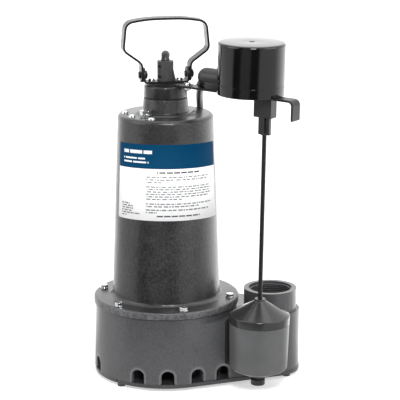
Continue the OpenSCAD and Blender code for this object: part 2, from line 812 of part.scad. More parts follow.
module impeller_nut() {
  color(ZINC) translate([0, 0, z_shaft_low]) difference() {
    hexagon(impeller_nut_d, impeller_nut_h - 1.5);
    translate([0, 0, -CUT]) cylinder(h = 20, r = shaft_r);
  }
}

// ---------- neck, straps and handle ----------

module cap_seal() {
  color(GASKET) translate([0, 0, z_neck_top]) ring(cap_r - 0.6, neck_bore_r, cap_seal_t);
}

module neck_cap() {
  color(IRON) difference() {
    translate([0, 0, z_cap]) revolve(concat(
      [[0, 0], [cap_r, 0]], corner([cap_r, 0], [cap_r - 0.4, cap_h], [0, cap_h], 1.5), [[0, cap_h]]
    ));
    translate([0, 0, z_cap - CUT]) cylinder(h = cap_h - 5 + CUT, r = neck_bore_r - 2);
    cylinder(h = z_cap_top + CUT, d = gland_bore_d);
    at_bracket_screws() translate([0, 0, -8]) cylinder(h = 20, d = screw_d + screw_fit);
  }
}

module at_bracket_screws() {
  for (x = [-screw_x, screw_x]) rotate([0, 0, handle_yaw]) translate([x, 0, z_bracket_top]) children();
}

module bracket_screws() {
  color(ZINC) at_bracket_screws() pan_screw(screw_d, screw_head_d, screw_head_h, 2 * strap_t + 3);
}

module motor_gland() {
  color(PLASTIC) translate([0, 0, z_bracket_top]) {
    difference() {
      cylinder(h = gland_h, d = gland_d);
      for (z = [3, 14.3]) translate([0.8 - gland_d / 2, -gland_d, z]) cube([3.8, gland_d - 2, 3.2]);
      translate([0, 0, gland_h - boot_sink]) cylinder(h = 20, d = boot_d + 2 * LAP);
      translate([0, 0, -CUT]) cylinder(h = gland_h, d = cord_d);
    }
    translate([0, 1.5, 0]) rotate([90, 0, 0])
      linear_extrude(3) polygon([[gland_d / 2 - 1, 0], [gland_d / 2 + 2.6, 0], [gland_d / 2 - 1, 16]]);
  }
}

// Moulded elbow that turns the cord to the back, with a tapered tail
module motor_boot() {
  color(CORD_BLACK) translate([0, 0, z_bracket_top + gland_h - boot_sink]) {
    translate([0, boot_bend_r, 0]) rotate([0, 0, -90]) rotate([90, 0, 0])
      rotate_extrude(angle = boot_turn) translate([boot_bend_r, 0]) circle(d = boot_d);
    translate([0, boot_bend_r, 0]) rotate([-boot_turn, 0, 0]) translate([0, -boot_bend_r, -LAP])
      cylinder(h = boot_tail + LAP, d1 = boot_d + 2 * LAP, d2 = cord_d + LAP);
  }
}

module ear_disc() {
  rotate([0, 90, 0]) cylinder(h = strap_t, d = handle_w);
}

module handle_bracket() {
  ear_line = rounded(
    [[0, -pivot_rise - strap_t / 2], [ear_span + strap_t / 2, -pivot_rise - strap_t / 2],
     [ear_span + strap_t / 2, 0]], [3]
  );
  color(BLACK_STEEL) handle_frame() difference() {
    union() {
      for (m = [0, 1]) mirror([m, 0, 0]) {
        translate([0, handle_w / 2, 0]) rotate([90, 0, 0]) linear_extrude(handle_w)
          polygon(strip(ear_line, strap_t));
        translate([ear_span, 0, 0]) ear_disc();
      }
    }
    translate([-40, 0, 0]) rotate([0, 90, 0]) cylinder(h = 80, d = pivot_d + 2 * pivot_fit);
    translate([0, 0, -20]) cylinder(h = 20, d = gland_bore_d);
    for (x = [-screw_x, screw_x]) translate([x, 0, -20]) cylinder(h = 20, d = screw_d + 2 * screw_fit);
  }
}

module handle() {
  half = rounded([
    [leg_span + strap_t / 2, 0], [leg_span + strap_t / 2, flare_low], [grip_span, flare_high],
    [corner_span, handle_h - crown_drop], [corner_span / 2, handle_h - strap_t / 2],
    [0, handle_h - strap_t / 2]
  ], [8, 8, 9, 150]);
  color(BLACK_STEEL) handle_frame() difference() {
    for (m = [0, 1]) mirror([m, 0, 0]) {
      translate([0, handle_w / 2, 0]) rotate([90, 0, 0]) linear_extrude(handle_w)
        polygon(strip(half, strap_t));
      translate([leg_span, 0, 0]) ear_disc();
    }
    translate([-60, 0, 0]) rotate([0, 90, 0]) cylinder(h = 120, d = pivot_d + 2 * pivot_fit);
  }
}

// Both bolts point to +X: the left one has its head outside, the right one inside
module at_pivots() {
  handle_frame() for (s = [-1, 1])
    translate([s < 0 ? -leg_span - strap_t - ear_gap : ear_span, 0, 0]) rotate([0, 90, 0]) children();
}

module pivot_bolts() {
  grip = 2 * strap_t + 2 * ear_gap;
  color(BLACK_STEEL) at_pivots() {
    cylinder(h = grip + pivot_nut_h + pivot_end, d = pivot_d);
    translate([0, 0, -pivot_head_h]) cylinder(h = pivot_head_h, d1 = pivot_head_d * 0.75, d2 = pivot_head_d);
  }
}

module pivot_nuts() {
  grip = 2 * strap_t + 2 * ear_gap;
  color(BLACK_STEEL) at_pivots() translate([0, 0, grip]) difference() {
    hexagon(pivot_nut_d, pivot_nut_h);
    translate([0, 0, -CUT]) cylinder(h = 20, d = pivot_d);
  }
}

// ---------- switch ----------

// Side view of the arm: level over the neck cap, then sagging to its end, where the tab turns down
module switch_arm() {
  bend = [arm_bend_x - strap_t / 2 * tan(arm_sag / 2), -strap_t / 2];
  end = bend + (arm_len - arm_bend_x - strap_t / 2) * [cos(arm_sag), -sin(arm_sag)];
  tab = end - (tab_drop - strap_t / 2) * [sin(arm_sag), cos(arm_sag)];
  line = concat([[0, -strap_t / 2], bend], corner(bend, end, tab, arm_bend_r), [tab]);
  color(BLACK_STEEL) difference() {
    union() {
      translate([0, 0, z_cap_top]) cylinder(h = strap_t, r = disc_r);
      rotate([0, 0, arm_yaw]) translate([0, arm_w / 2, z_arm_top]) rotate([90, 0, 0])
        linear_extrude(arm_w) polygon(strip(line, strap_t));
    }
    cylinder(h = z_arm_top + CUT, d = gland_bore_d);
    at_bracket_screws() translate([0, 0, -20]) cylinder(h = 30, d = screw_d + 2 * screw_fit);
    arm_frame() {
      translate([rod_x, 0, -20]) cylinder(h = 30, d = rod_d + 2 * rod_hole_fit);
      for (x = concat(STUDS, [ground_x])) translate([x, 0, -20])
        cylinder(h = 30, d = screw_d + 2 * screw_fit);
    }
  }
}

// Grounding screw and nut through the arm beside the cap
module arm_screw() {
  color(ZINC) arm_frame() translate([ground_x, 0, 0]) {
    pan_screw(screw_d, screw_head_d, screw_head_h, strap_t + 4);
    translate([0, 0, -strap_t - 2.8]) difference() {
      hexagon(8, 2.8);
      translate([0, 0, -CUT]) cylinder(h = 10, d = screw_d);
    }
  }
}

module switch_base() {
  color(GLOSS) arm_frame() difference() {
    union() {
      translate([switch_x, 0, 0])
        cylinder(h = switch_base_t, d = switch_d - 2 * switch_wall - 2 * switch_gap);
      for (x = STUDS) translate([x, 0, -strap_t - stud_head_h]) {
        cylinder(h = strap_t + stud_head_h, d = screw_d);
        cylinder(h = stud_head_h, d = screw_head_d);
      }
    }
    translate([rod_x, 0, -CUT]) cylinder(h = 20, d = rod_d + 2 * rod_hole_fit);
  }
}

module switch_cap() {
  r = switch_d / 2;
  color(GLOSS) arm_frame() difference() {
    translate([switch_x, 0, 0]) revolve(concat(
      [[0, 0], [r, 0]], corner([r, 0], [r, switch_h], [0, switch_h], switch_round), [[0, switch_h]]
    ));
    translate([switch_x, 0, -CUT]) cylinder(h = switch_h - switch_wall + CUT, r = r - switch_wall);
    translate([switch_x, 0, switch_h - 0.8]) cylinder(h = 5, d = 6);
    translate([gland_dome_x, 0, switch_gland_z]) rotate([0, 90, 0]) cylinder(h = gland_len + 12, d = 11);
    translate([switch_x, 0, cap_seam_z]) ring(r + 5, r - 0.4, 0.6);
  }
}

module snap_switch() {
  color(PLASTIC) arm_frame() translate([switch_x - 20, -8, switch_base_t]) cube([28, 16, 20]);
}

module rod_guide() {
  color(PLASTIC) arm_frame() difference() {
    translate([rod_x - guide_l / 2, -guide_w / 2, -strap_t - guide_h]) cube([guide_l, guide_w, guide_h]);
    translate([rod_x, 0, -strap_t - guide_h - CUT]) {
      cylinder(h = guide_h + 2 * CUT, d = rod_d + 2 * rod_hole_fit);
      coupler_cross(guide_fit, rod_travel + 1 + CUT);
    }
  }
}

module coupler_cross(grow, h) {
  for (s = [[coupler_l, coupler_t], [coupler_t, coupler_w]])
    translate([-s.x / 2 - grow, -s.y / 2 - grow, 0]) cube([s.x + 2 * grow, s.y + 2 * grow, h]);
}

module switch_gland() {
  color(PLASTIC) arm_frame() translate([gland_dome_x, 0, switch_gland_z]) difference() {
    union() {
      sphere(d = switch_gland_d);
      rotate([0, 90, 0]) cylinder(h = gland_len - 0.5, d = switch_gland_d);
      rotate([0, 90, 0]) cylinder(h = gland_len + 6, d = 10.6);
    }
    boot_turned() cylinder(h = cord_boot_len, r1 = 6, r2 = 4.4);
    rotate([0, 90, 0]) cylinder(h = gland_len + 10, d = 5);
  }
}

module boot_turned() {
  rotate([0, 0, cord_boot_az]) rotate([0, 90 + cord_boot_dip, 0]) children();
}

// Tapered boot from the gland towards the back and down
module switch_boot() {
  color(CORD_BLACK) arm_frame() translate([gland_dome_x, 0, switch_gland_z])
    boot_turned() cylinder(h = cord_boot_len, r1 = 6, r2 = 4.4);
}

// ---------- rod and float ----------

module at_rod() {
  arm_frame() translate([rod_x, 0, -rod_len]) children();
}

module float_rod() {
  color(BLACK_STEEL) at_rod() cylinder(h = rod_len + rod_top, d = rod_d);
}

module rod_magnet() {
  color(STEEL) at_rod() translate([0, 0, z_magnet]) ring(magnet_d / 2, rod_d / 2, magnet_h);
}

module rod_coupler() {
  color(PLASTIC) at_rod() translate([0, 0, z_coupler]) difference() {
    coupler_cross(0, coupler_h);
    translate([0, 0, -CUT]) cylinder(h = coupler_h + 2 * CUT, d = rod_d);
  }
}

module rod_stop() {
  color(PLASTIC) at_rod() difference() {
    union() {
      cylinder(h = stop_h - 2.5, d = stop_d);
      cylinder(h = stop_h, r = stop_collar_r);
    }
    translate([0, 0, -CUT]) cylinder(h = stop_h + 2 * CUT, d = rod_d);
  }
}

// Float filled in, each wall moved in by t
module float_form(t) {
  z0 = z_float;
  z1 = z0 + float_cone_h;
  z2 = z1 + float_body_h;
  z3 = z2 + float_top_h;
  revolve(concat(
    [[0, z0 + t], [stop_d / 2, z0 + t]],
    corner([stop_d / 2, z0 + t], [float_low_r - t, z1 + t / 2], [float_r - t, z2 - t / 2], 3 - t),
    corner([float_low_r - t, z1 + t / 2], [float_r - t, z2 - t / 2], [float_apex_r, z3 - t], 1.5),
    [[float_apex_r, z3 - t], [float_apex_r, z3 + 2 - 2 * t], [0, z3 + 2 - 2 * t]]
  ));
}

// Hollow float between two heights, with a sleeve for the rod
module float_shell(z0, z1) {
  sleeve_r = rod_d / 2 + float_fit + float_wall;
  color(PLASTIC) at_rod() difference() {
    intersection() {
      difference() {
        float_form(0);
        difference() {
          float_form(float_wall);
          cylinder(h = rod_len, r = sleeve_r);
        }
      }
      translate([0, 0, z0]) cylinder(h = z1 - z0, r = 2 * float_r);
    }
    cylinder(h = rod_len, r = rod_d / 2 + float_fit);
  }
}

module float_upper() {
  float_shell(z_seam, z_seam + 100);
}

module float_lower() {
  float_shell(0, z_seam);
}

// ---------- cords ----------

// Loops that spiral in on one layer and out again on the other
function coil_line(a0, loops, z0, z1) =
  let(n = loops * COIL_RINGS)
  [for (i = [0:n])
    let(a = a0 + 360 * i / COIL_RINGS, back = abs(i - n / 2) / COIL_RINGS)
    let(r = coil_r - coil_pitch * (loops / 2 - back))
    let(climb = min(max((i - n / 2) / COIL_RINGS * 2 + 0.5, 0), 1))
    [coil_c.x + r * cos(a), coil_c.y + r * sin(a), z0 + (z1 - z0) * climb]];

// Least gap between two loops of a line of rings
function loop_gap(p) =
  min([for (i = [0:len(p) - 1]) for (j = [i + COIL_RINGS / 2:1:len(p) - 1]) norm(p[i] - p[j])]) - cord_d;

function heading(a) = [-sin(a), cos(a), 0];

function with_stubs(p, a0, a1) =
  concat([p[0] - stub * heading(a0)], p, [last(p) + stub * heading(a1)]);

function last(p) = p[len(p) - 1];

function turn_z(v, a) = [v.x * cos(a) - v.y * sin(a), v.x * sin(a) + v.y * cos(a), v.z];
function turn_y(v, a) = [v.x * cos(a) + v.z * sin(a), v.y, v.z * cos(a) - v.x * sin(a)];
function from_arm(v) = turn_z(turn_y(v, arm_sag), arm_yaw);

module cord_solid(p, ref) {
  color(CORD_BLACK) tube(p, cord_r, CORD_SIDES, ref);
}

// A straight end at each side of a smooth line
function route(start, start_dir, pts, end, end_dir) =
  let(s1 = start + stub * start_dir, e1 = end - stub * end_dir)
  concat([start], smooth(concat([s1], pts, [e1]), 2), [end]);

module motor_cord() {
  cord_solid(route(motor_exit, motor_exit_dir, MOTOR_ROUTE, motor_coil_line[0], heading(motor_a0)),
    [0, 0.3, 1]);
  cord_solid([last(motor_coil_line), motor_tail_end], [0, 0, 1]);
}

module motor_coil() {
  color(CORD_BLACK) tube(motor_coil_line, cord_r, COIL_SIDES, [0, 0, 1]);
}

module switch_cord() {
  cord_solid(route(switch_exit, switch_exit_dir, SWITCH_ROUTE, switch_coil_line[0],
    heading(switch_a0)), [1, 0, 0]);
  cord_solid(route(last(switch_coil_line), heading(switch_a1), SWITCH_TAIL, switch_tail_end,
    [1, 0, 0]), [0, 0, 1]);
}

module switch_coil() {
  color(CORD_BLACK) tube(switch_coil_line, cord_r, COIL_SIDES, [0, 0, 1]);
}

// Moulded plug: tapered relief and round body, its cord end at the origin and its face along +Z
module plug_body() {
  relief = plug_l * 0.45;
  revolve([
    [0, 0], [cord_r + 0.6, 0], [cord_r + 2, relief - 6], [plug_r - 1, relief + 2],
    [plug_r, relief + 4], [plug_r, plug_l - 1], [plug_r - 1, plug_l], [0, plug_l]
  ]);
}

module plug_blades() {
  for (s = [-1, 1]) translate([s * 6.35 - 0.75, -3.15 - 2, plug_l]) cube([1.5, 6.3, 17]);
  translate([0, 6.5, plug_l]) cylinder(h = 20, d = 4.8);
}

module at_motor_plug() {
  translate(motor_tail_end) rotate([0, 0, motor_a1 % 360 + 90]) rotate([0, 90, 0])
    rotate([0, 0, 90]) children();
}

module at_switch_plug() {
  translate(switch_tail_end) rotate([0, 90, 0]) rotate([0, 0, 90]) children();
}

module motor_plug() {
  color(CORD_BLACK) at_motor_plug() plug_body();
}

module motor_blades() {
  color(ZINC) at_motor_plug() plug_blades();
}

module switch_plug() {
  color(CORD_BLACK) at_switch_plug() plug_body();
}

module switch_blades() {
  color(ZINC) at_switch_plug() plug_blades();
}

base_plate();
plate_screws();
volute();
casing_gasket();
motor_housing();
flange_bolts();
seal_plate();
lower_bearing();
upper_bearing();
shaft_seal();
stator_core();
stator_windings();
overload_switch();
rotor_core();
shaft();
impeller();
impeller_nut();
oil_plug();
shoulder_screws();
cap_seal();
neck_cap();
motor_gland();
motor_boot();
handle_bracket();
bracket_screws();
pivot_bolts();
pivot_nuts();
handle();
switch_arm();
arm_screw();
switch_base();
switch_cap();
snap_switch();
rod_guide();
switch_gland();
switch_boot();
float_rod();
rod_magnet();
rod_coupler();
rod_stop();
float_upper();
float_lower();
motor_cord();
motor_coil();
motor_plug();
motor_blades();
switch_cord();
switch_coil();
switch_plug();
switch_blades();
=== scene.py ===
# %% [markdown]
# # A submersible sump pump, dressed and lit
#
# The solids of the pump come from CAD. They are exact, but they are bare: one
# colour, razor edges, no enamel, no zinc. This lesson keeps their places and
# gives each one the surface that the real piece has.
#
# First the frame is loaded. One short helper puts a new object into the scene.

# %% Load the frame
import json
import math

import bmesh
import bpy
from mathutils import Matrix, Vector


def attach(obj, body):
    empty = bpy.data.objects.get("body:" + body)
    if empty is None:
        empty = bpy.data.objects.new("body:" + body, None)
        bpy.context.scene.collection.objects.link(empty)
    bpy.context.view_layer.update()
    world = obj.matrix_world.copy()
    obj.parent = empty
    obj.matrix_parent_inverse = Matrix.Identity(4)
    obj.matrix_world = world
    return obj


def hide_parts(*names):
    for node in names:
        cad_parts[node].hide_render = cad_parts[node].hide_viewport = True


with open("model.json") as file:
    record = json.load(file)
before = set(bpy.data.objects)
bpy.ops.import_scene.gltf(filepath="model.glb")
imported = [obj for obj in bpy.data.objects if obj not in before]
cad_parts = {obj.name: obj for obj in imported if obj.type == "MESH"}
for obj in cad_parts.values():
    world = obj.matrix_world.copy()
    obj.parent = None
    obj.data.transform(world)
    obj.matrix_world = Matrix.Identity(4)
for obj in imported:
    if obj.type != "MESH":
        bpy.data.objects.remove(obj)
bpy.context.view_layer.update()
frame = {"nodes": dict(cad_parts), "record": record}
MM = 0.001


def add(name, data):
    made = bpy.data.objects.new(name, data)
    bpy.context.scene.collection.objects.link(made)
    return made


# %% [markdown]
# ## The camera
#
# The pump is seen from the front and a little above, with a long lens from
# about two metres away. A long lens keeps upright edges nearly parallel, which
# makes the view calm.

# %% Camera
look_down = math.radians(13.57)
lens = bpy.data.cameras.new("camera")
lens.lens = 157.5
lens.sensor_width = 36
lens.clip_end = 50
camera = add("camera", lens)
camera.location = (0.038, -1.9, 0.6564)
camera.rotation_euler = (math.radians(90) - look_down, 0, 0)
bpy.context.scene.camera = camera
print("camera:", lens.lens, "mm lens,", round(math.degrees(look_down), 1), "degrees down")

# %% [markdown]
# ## Frames of reference
#
# Two groups of pieces sit askew to the pump. The switch arm turns to the front
# and, from its bend on, sags a little under the switch. The float rod hangs
# square from that arm. A matrix for each lets a piece be modelled upright at
# the origin and then carried to its place. All lengths are in mm.

# %% Matrices of the arm and the rod


def shift(x, y, z):
    """A move in mm."""
    return Matrix.Translation((x * MM, y * MM, z * MM))


def turn(degrees, axis):
    return Matrix.Rotation(math.radians(degrees), 4, axis)


ARM_TOP = 330.9
ARM_TURN, ARM_BEND, ARM_SAG = 34, 22, 1.2
SWITCH_X, ROD_X = 111, 129.5
ROD_LENGTH = 323.049
at_bend = shift(0, 0, ARM_TOP) @ turn(-ARM_TURN, "Z") @ shift(ARM_BEND, 0, 0)
ON_ARM = at_bend @ turn(ARM_SAG, "Y") @ shift(-ARM_BEND, 0, 0)
ON_ROD = ON_ARM @ shift(ROD_X, 0, -ROD_LENGTH)
print("rod foot:", [round(v / MM, 1) for v in ON_ROD.translation], "mm")

# %% [markdown]
# ## Shader arithmetic
#
# A procedural finish is a small calculation: noise, stretched and clipped,
# drives colour, roughness and bump. Written node by node it drowns in links,
# so one class wraps a socket and lets Python's operators add the Math nodes,
# and one method makes every other node.

# %% A value in a shader


class Value:
    """One output socket. Python's operators on it add Math nodes."""

    def __init__(self, nodes, socket):
        self.nodes, self.socket = nodes, socket

    def math(self, operation, *others):
        return self.nodes.node("Math", {"operation": operation}, [self, *others])

    def __add__(self, other):
        return self.math("ADD", other)

    def __sub__(self, other):
        return self.math("SUBTRACT", other)

    def __mul__(self, other):
        return self.math("MULTIPLY", other)

    def __gt__(self, other):
        return self.math("GREATER_THAN", other)

    def __lt__(self, other):
        return self.math("LESS_THAN", other)

    __radd__ = __add__
    __rmul__ = __mul__

    def ramp(self, low, high):
        """0 at low, 1 at high and beyond, a straight line between."""
        limits = {"From Min": low, "From Max": high}
        return self.nodes.node("MapRange", {"clamp": True}, {"Value": self, **limits})


# %% Nodes and finishes


class Nodes:
    """A node tree that grows by calls."""

    def __init__(self, tree):
        self.tree = tree

    def node(self, kind, settings=None, values=(), output=0):
        made = self.tree.nodes.new("ShaderNode" + kind)
        for name, setting in (settings or {}).items():
            setattr(made, name, setting)
        for name, value in values.items() if isinstance(values, dict) else enumerate(values):
            self.feed(made.inputs[name], value)
        return Value(self, made.outputs[output])

    def feed(self, socket, value):
        if isinstance(value, Value):
            self.tree.links.new(value.socket, socket)
        elif socket.type == "RGBA" and len(value) == 3:
            socket.default_value = (*value, 1)
        else:
            socket.default_value = value

    def place(self):
        return self.node("TexCoord", output="Object")

    def ray(self, kind):
        return self.node("LightPath", output=kind)

    def axis(self, vector, letter):
        return self.node("SeparateXYZ", {}, [vector], output=letter)

    def vector(self, operation, *values):
        """A vector, or one number from a dot product or a length."""
        output = "Value" if operation in ("DOT_PRODUCT", "LENGTH") else "Vector"
        return self.node("VectorMath", {"operation": operation}, values, output)

    def noise(self, size_mm, detail=2, roughness=0.5, stretch=None):
        """Soft noise between about 0.3 and 0.7 whose lumps are size_mm wide."""
        where = self.place()
        if stretch:
            where = self.node("Mapping", {}, {"Vector": where, "Scale": stretch})
        values = {"Scale": 1 / (size_mm * MM), "Detail": detail, "Roughness": roughness}
        return self.node("TexNoise", {"noise_dimensions": "3D"}, {"Vector": where, **values})

    def mix(self, amount, first, second):
        """Colour between first and second."""
        return self.node("Mix", {"data_type": "RGBA"}, {0: amount, 6: first, 7: second}, output=2)

    def bump(self, height, depth_mm, strength=1.0, under=None):
        values = {"Strength": strength, "Distance": depth_mm * MM, "Height": height}
        if under:
            values["Normal"] = under
        return self.node("Bump", {}, values, output="Normal")


class Finish(Nodes):
    """A material under construction. The Principled shader's sockets are set by name."""

    def __init__(self, name, **plain):
        self.material = bpy.data.materials.new(name)
        self.material.use_nodes = True
        super().__init__(self.material.node_tree)
        self.shader = self.tree.nodes["Principled BSDF"]
        self.set(**plain)

    def set(self, **sockets):
        for name, value in sockets.items():
            title = name.replace("_", " ").title().replace("Ior", "IOR")
            self.feed(self.shader.inputs[title], value)
        return self


def shaded(colour, amount):
    return [amount * channel for channel in colour]


# %% [markdown]
# ## Moulded plastics and rubber
#
# Plugs, cords, glands, the switch cap and the float are all mouldings. A mould
# leaves a fine even grain and broad clouds where the melt cooled unevenly, so
# one function serves them all. Gloss, grain and colour are what tells a rubber
# jacket from a polished cap.

# %% Plastics


def moulded(name, colour, rough, grain_mm, depth_mm, spread=0.08):
    finish = Finish(name)
    clouds = finish.noise(26, 3, 0.55)
    grain = finish.noise(grain_mm, 2, 0.5)
    tone = finish.mix(clouds.ramp(0.3, 0.7), shaded(colour, 0.86), shaded(colour, 1.14))
    gloss = rough - spread / 2 + clouds * spread + grain * 0.05
    normal = finish.bump(grain, depth_mm, 0.5)
    return finish.set(base_color=tone, roughness=gloss, normal=normal).material


# name, colour, roughness, width and depth of the grain in mm, spread of the roughness
cord_jacket = moulded("cord_jacket", (0.016, 0.016, 0.0165), 0.4, 0.8, 0.03)
gasket_rubber = moulded("gasket_rubber", (0.01, 0.01, 0.01), 0.62, 0.7, 0.05)
nylon_black = moulded("nylon_black", (0.016, 0.016, 0.017), 0.36, 0.5, 0.03)
gland_grey = moulded("gland_grey", (0.05, 0.05, 0.052), 0.4, 0.7, 0.06)
gloss_black = moulded("gloss_black", (0.004, 0.004, 0.0044), 0.07, 9, 0.012, 0.03)
float_grey = moulded("float_grey", (0.084, 0.0847, 0.0866), 0.34, 0.6, 0.02, 0.1)
# The float's upper half: its darker colour is a painted dark reflection, its gloss is real.
float_top_painted_shade = moulded("float_top_painted_shade", (0.022, 0.0222, 0.023), 0.16, 0.6, 0.02, 0.05)
print("plastics made: 7")

# %% [markdown]
# ## Dressing a piece
#
# Every new piece needs the same last steps: an object at the origin, smooth
# shading with sharp corners kept, a material, the body it moves with and the
# solid it stands for. `dress` does them all, so that no piece forgets one.

# %% Finish a piece


def dress(name, mesh_bm, material, body, replaces=(), sharp=35):
    mesh = bpy.data.meshes.new(name)
    bmesh.ops.recalc_face_normals(mesh_bm, faces=mesh_bm.faces)
    for face in mesh_bm.faces:
        face.smooth = True
    mesh_bm.to_mesh(mesh)
    mesh_bm.free()
    mesh.set_sharp_from_angle(angle=math.radians(sharp))
    mesh.materials.append(material)
    piece = add(name, mesh)
    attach(piece, body)
    if replaces:
        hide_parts(*replaces)
    print(name, "faces:", len(mesh.polygons))
    return piece


# %% [markdown]
# ## Softened solids
#
# No casting, bent strap or moulding has a razor edge: a small round runs along
# every corner and catches the light. The CAD mesh itself may not be changed,
# so a copy is welded, its flat faces are joined into single polygons, and a
# Bevel modifier rolls the edges over. The width is the real corner's radius. A
# second material, where one is given, goes to the rolled edges.

# %% Copy a solid with rounded edges
WELD_M = 2e-6
FLAT_DEG, EDGE_DEG = 0.4, 28


def soften(node, material, body, round_mm, name, segments=2, sharp=35, edge=None):
    bm = bmesh.new()
    bm.from_mesh(frame["nodes"][node].data)
    bmesh.ops.remove_doubles(bm, verts=bm.verts, dist=WELD_M)
    bmesh.ops.dissolve_limit(
        bm, angle_limit=math.radians(FLAT_DEG), use_dissolve_boundaries=False,
        verts=bm.verts, edges=bm.edges,
    )
    piece = dress(name, bm, material, body, [node], sharp)
    bevel = piece.modifiers.new("rounded_edges", "BEVEL")
    bevel.limit_method = "ANGLE"
    bevel.angle_limit = math.radians(EDGE_DEG)
    bevel.width = round_mm * MM
    bevel.segments = segments
    bevel.use_clamp_overlap = True
    bevel.harden_normals = True
    if edge:
        piece.data.materials.append(edge)
        bevel.material = 1
    return piece


# %% [markdown]
# ## The cords
#
# Two mains cords, each about 2.4 m long and 7.6 mm thick. One leaves the motor
# gland through a moulded elbow and goes down the back of the housing. The other
# leaves the switch gland and passes the neck. Behind the pump they are wound
# into one neat coil of four layers, with their plugs beside it. The pitch is
# from loop to loop, the step from layer to layer, and a straight stub joins
# each coil to the routes. The points are those of the CAD solids, as one smooth
# curve per cord.

# %% The coil
CORD_D = 7.6
CORD_R = CORD_D / 2
COIL_X, COIL_Y, COIL_R = 0, 162, 58.95
COIL_PITCH, COIL_STEP = 8.1, 8.2
LAYERS = [CORD_R + k * COIL_STEP for k in range(4)]
LOOP_POINTS = 24
STUB = 8
MOTOR_LOOPS, MOTOR_START = 7, 300
SWITCH_LOOPS, SWITCH_START = 6.75, 0


def heading(degrees):
    a = math.radians(degrees)
    return Vector((-math.sin(a), math.cos(a), 0))


def coil_points(start, loops, low, high):
    """Loops that spiral in on one layer and out again on the other."""
    count = round(loops * LOOP_POINTS)
    points = []
    for i in range(count + 1):
        a = math.radians(start + 360 * i / LOOP_POINTS)
        past_middle = (i - count / 2) / LOOP_POINTS
        r = COIL_R - COIL_PITCH * (loops / 2 - abs(past_middle))
        climb = min(max(past_middle * 2 + 0.5, 0), 1)
        z = low + (high - low) * climb
        points.append(Vector((COIL_X + r * math.cos(a), COIL_Y + r * math.sin(a), z)))
    first = points[0] - STUB * heading(start)
    last = points[-1] + STUB * heading(start + 360 * loops)
    return [first] + points + [last]


motor_coil = coil_points(MOTOR_START, MOTOR_LOOPS, LAYERS[0], LAYERS[1])
switch_coil = coil_points(SWITCH_START, SWITCH_LOOPS, LAYERS[3], LAYERS[2])
print("coil points:", len(motor_coil), len(switch_coil))

# %% Smooth routes
ROUTE_PARTS = 4


def smooth_line(points, parts):
    """Catmull-Rom line through points, with so many parts between two of them."""
    line = []
    for i in range(len(points) - 1):
        a, b, c = points[max(i - 1, 0)], points[i], points[i + 1]
        d = points[min(i + 2, len(points) - 1)]
        once, twice, thrice = c - a, 2 * a - 5 * b + 4 * c - d, 3 * b - a - 3 * c + d
        for j in range(parts):
            t = j / parts
            line.append(0.5 * (2 * b + once * t + twice * t * t + thrice * t**3))
    return line + [points[-1]]


def route(start, start_dir, points, end, end_dir):
    """A straight end at each side of a smooth line."""
    inner = [start + STUB * start_dir, *[Vector(p) for p in points], end - STUB * end_dir]
    return [start] + smooth_line(inner, ROUTE_PARTS) + [end]


def line_length(points):
    return sum((b - a).length for a, b in zip(points, points[1:]))


MOTOR_ROUTE = [
    (0, 44, 345), (-1, 57, 332), (-2, 66, 313), (-4, 71, 290), (-7, 74, 260), (-10, 77, 225),
    (-13, 80, 190), (-15, 83, 155), (-16, 86, 120), (-16, 88, 92), (-15, 88, 62), (-12, 88, 36),
    (-4, 92, 16), (8, 98, 6),
]
SWITCH_ROUTE = [
    (38, 6, 323), (37.5, 20, 315), (37.5, 33, 306), (38, 44, 294), (38, 52, 277), (38, 57, 255),
    (38, 61, 225), (38, 66, 190), (38, 73, 150), (38, 81, 115), (40, 88, 88), (46, 97, 64),
    (53, 110, 44), (58, 127, 32),
]
SWITCH_TAIL = [(22, 102.5, 18.8), (38, 102.5, 13.8)]
print("route points:", len(MOTOR_ROUTE), len(SWITCH_ROUTE))

# %% [markdown]
# ### Where the cords leave
#
# The motor's cord leaves a moulded elbow that turns it 110 degrees to the back.
# The switch's cord leaves a tapered boot that points back and down from the
# gland. Both exits are worked out from the pieces that carry them.

# %% Exits and whole lines
ELBOW, ELBOW_FOOT, ELBOW_R, ELBOW_TAIL = math.radians(110), 353, 7.5, 20
BOOT_DIP, BOOT_TURN, BOOT_TAIL = math.radians(27), math.radians(140), 26
GLAND_X, GLAND_UP = SWITCH_X - 56.4, 12
MOTOR_TAIL, SWITCH_PLUG_X = 22, 60

motor_dir = Vector((0, math.sin(ELBOW), math.cos(ELBOW)))
elbow_y, elbow_z = ELBOW_R * (1 - math.cos(ELBOW)), ELBOW_FOOT + ELBOW_R * math.sin(ELBOW)
motor_exit = Vector((0, elbow_y, elbow_z)) + ELBOW_TAIL * motor_dir
level = math.cos(BOOT_DIP)
boot_dir = Vector((level * math.cos(BOOT_TURN), level * math.sin(BOOT_TURN), -math.sin(BOOT_DIP)))
switch_dir = (ON_ARM.to_3x3() @ boot_dir).normalized()
gland_dome = (ON_ARM @ (Vector((GLAND_X, 0, GLAND_UP)) * MM)) / MM
switch_exit = gland_dome + BOOT_TAIL * switch_dir
motor_end = motor_coil[-1] + MOTOR_TAIL * heading(MOTOR_START)
switch_end = Vector((SWITCH_PLUG_X, switch_coil[-1].y, CORD_R + COIL_STEP))

motor_way = route(motor_exit, motor_dir, MOTOR_ROUTE, motor_coil[0], heading(MOTOR_START))
switch_way = route(switch_exit, switch_dir, SWITCH_ROUTE, switch_coil[0], heading(SWITCH_START))
plug_way = route(switch_coil[-1], heading(270), SWITCH_TAIL, switch_end, Vector((1, 0, 0)))
motor_line = motor_way + motor_coil[1:] + [motor_end]
switch_line = switch_way + switch_coil[1:] + plug_way[1:]
print("cords:", round(line_length(motor_line)), round(line_length(switch_line)), "mm")

# %% [markdown]
# ### Curves for the cords
#
# A curve with a round bevel is the natural model of a cord: it keeps its length
# and its thickness whatever the route. The points are close together, so a
# poly spline follows them exactly.

# %% Cord curves


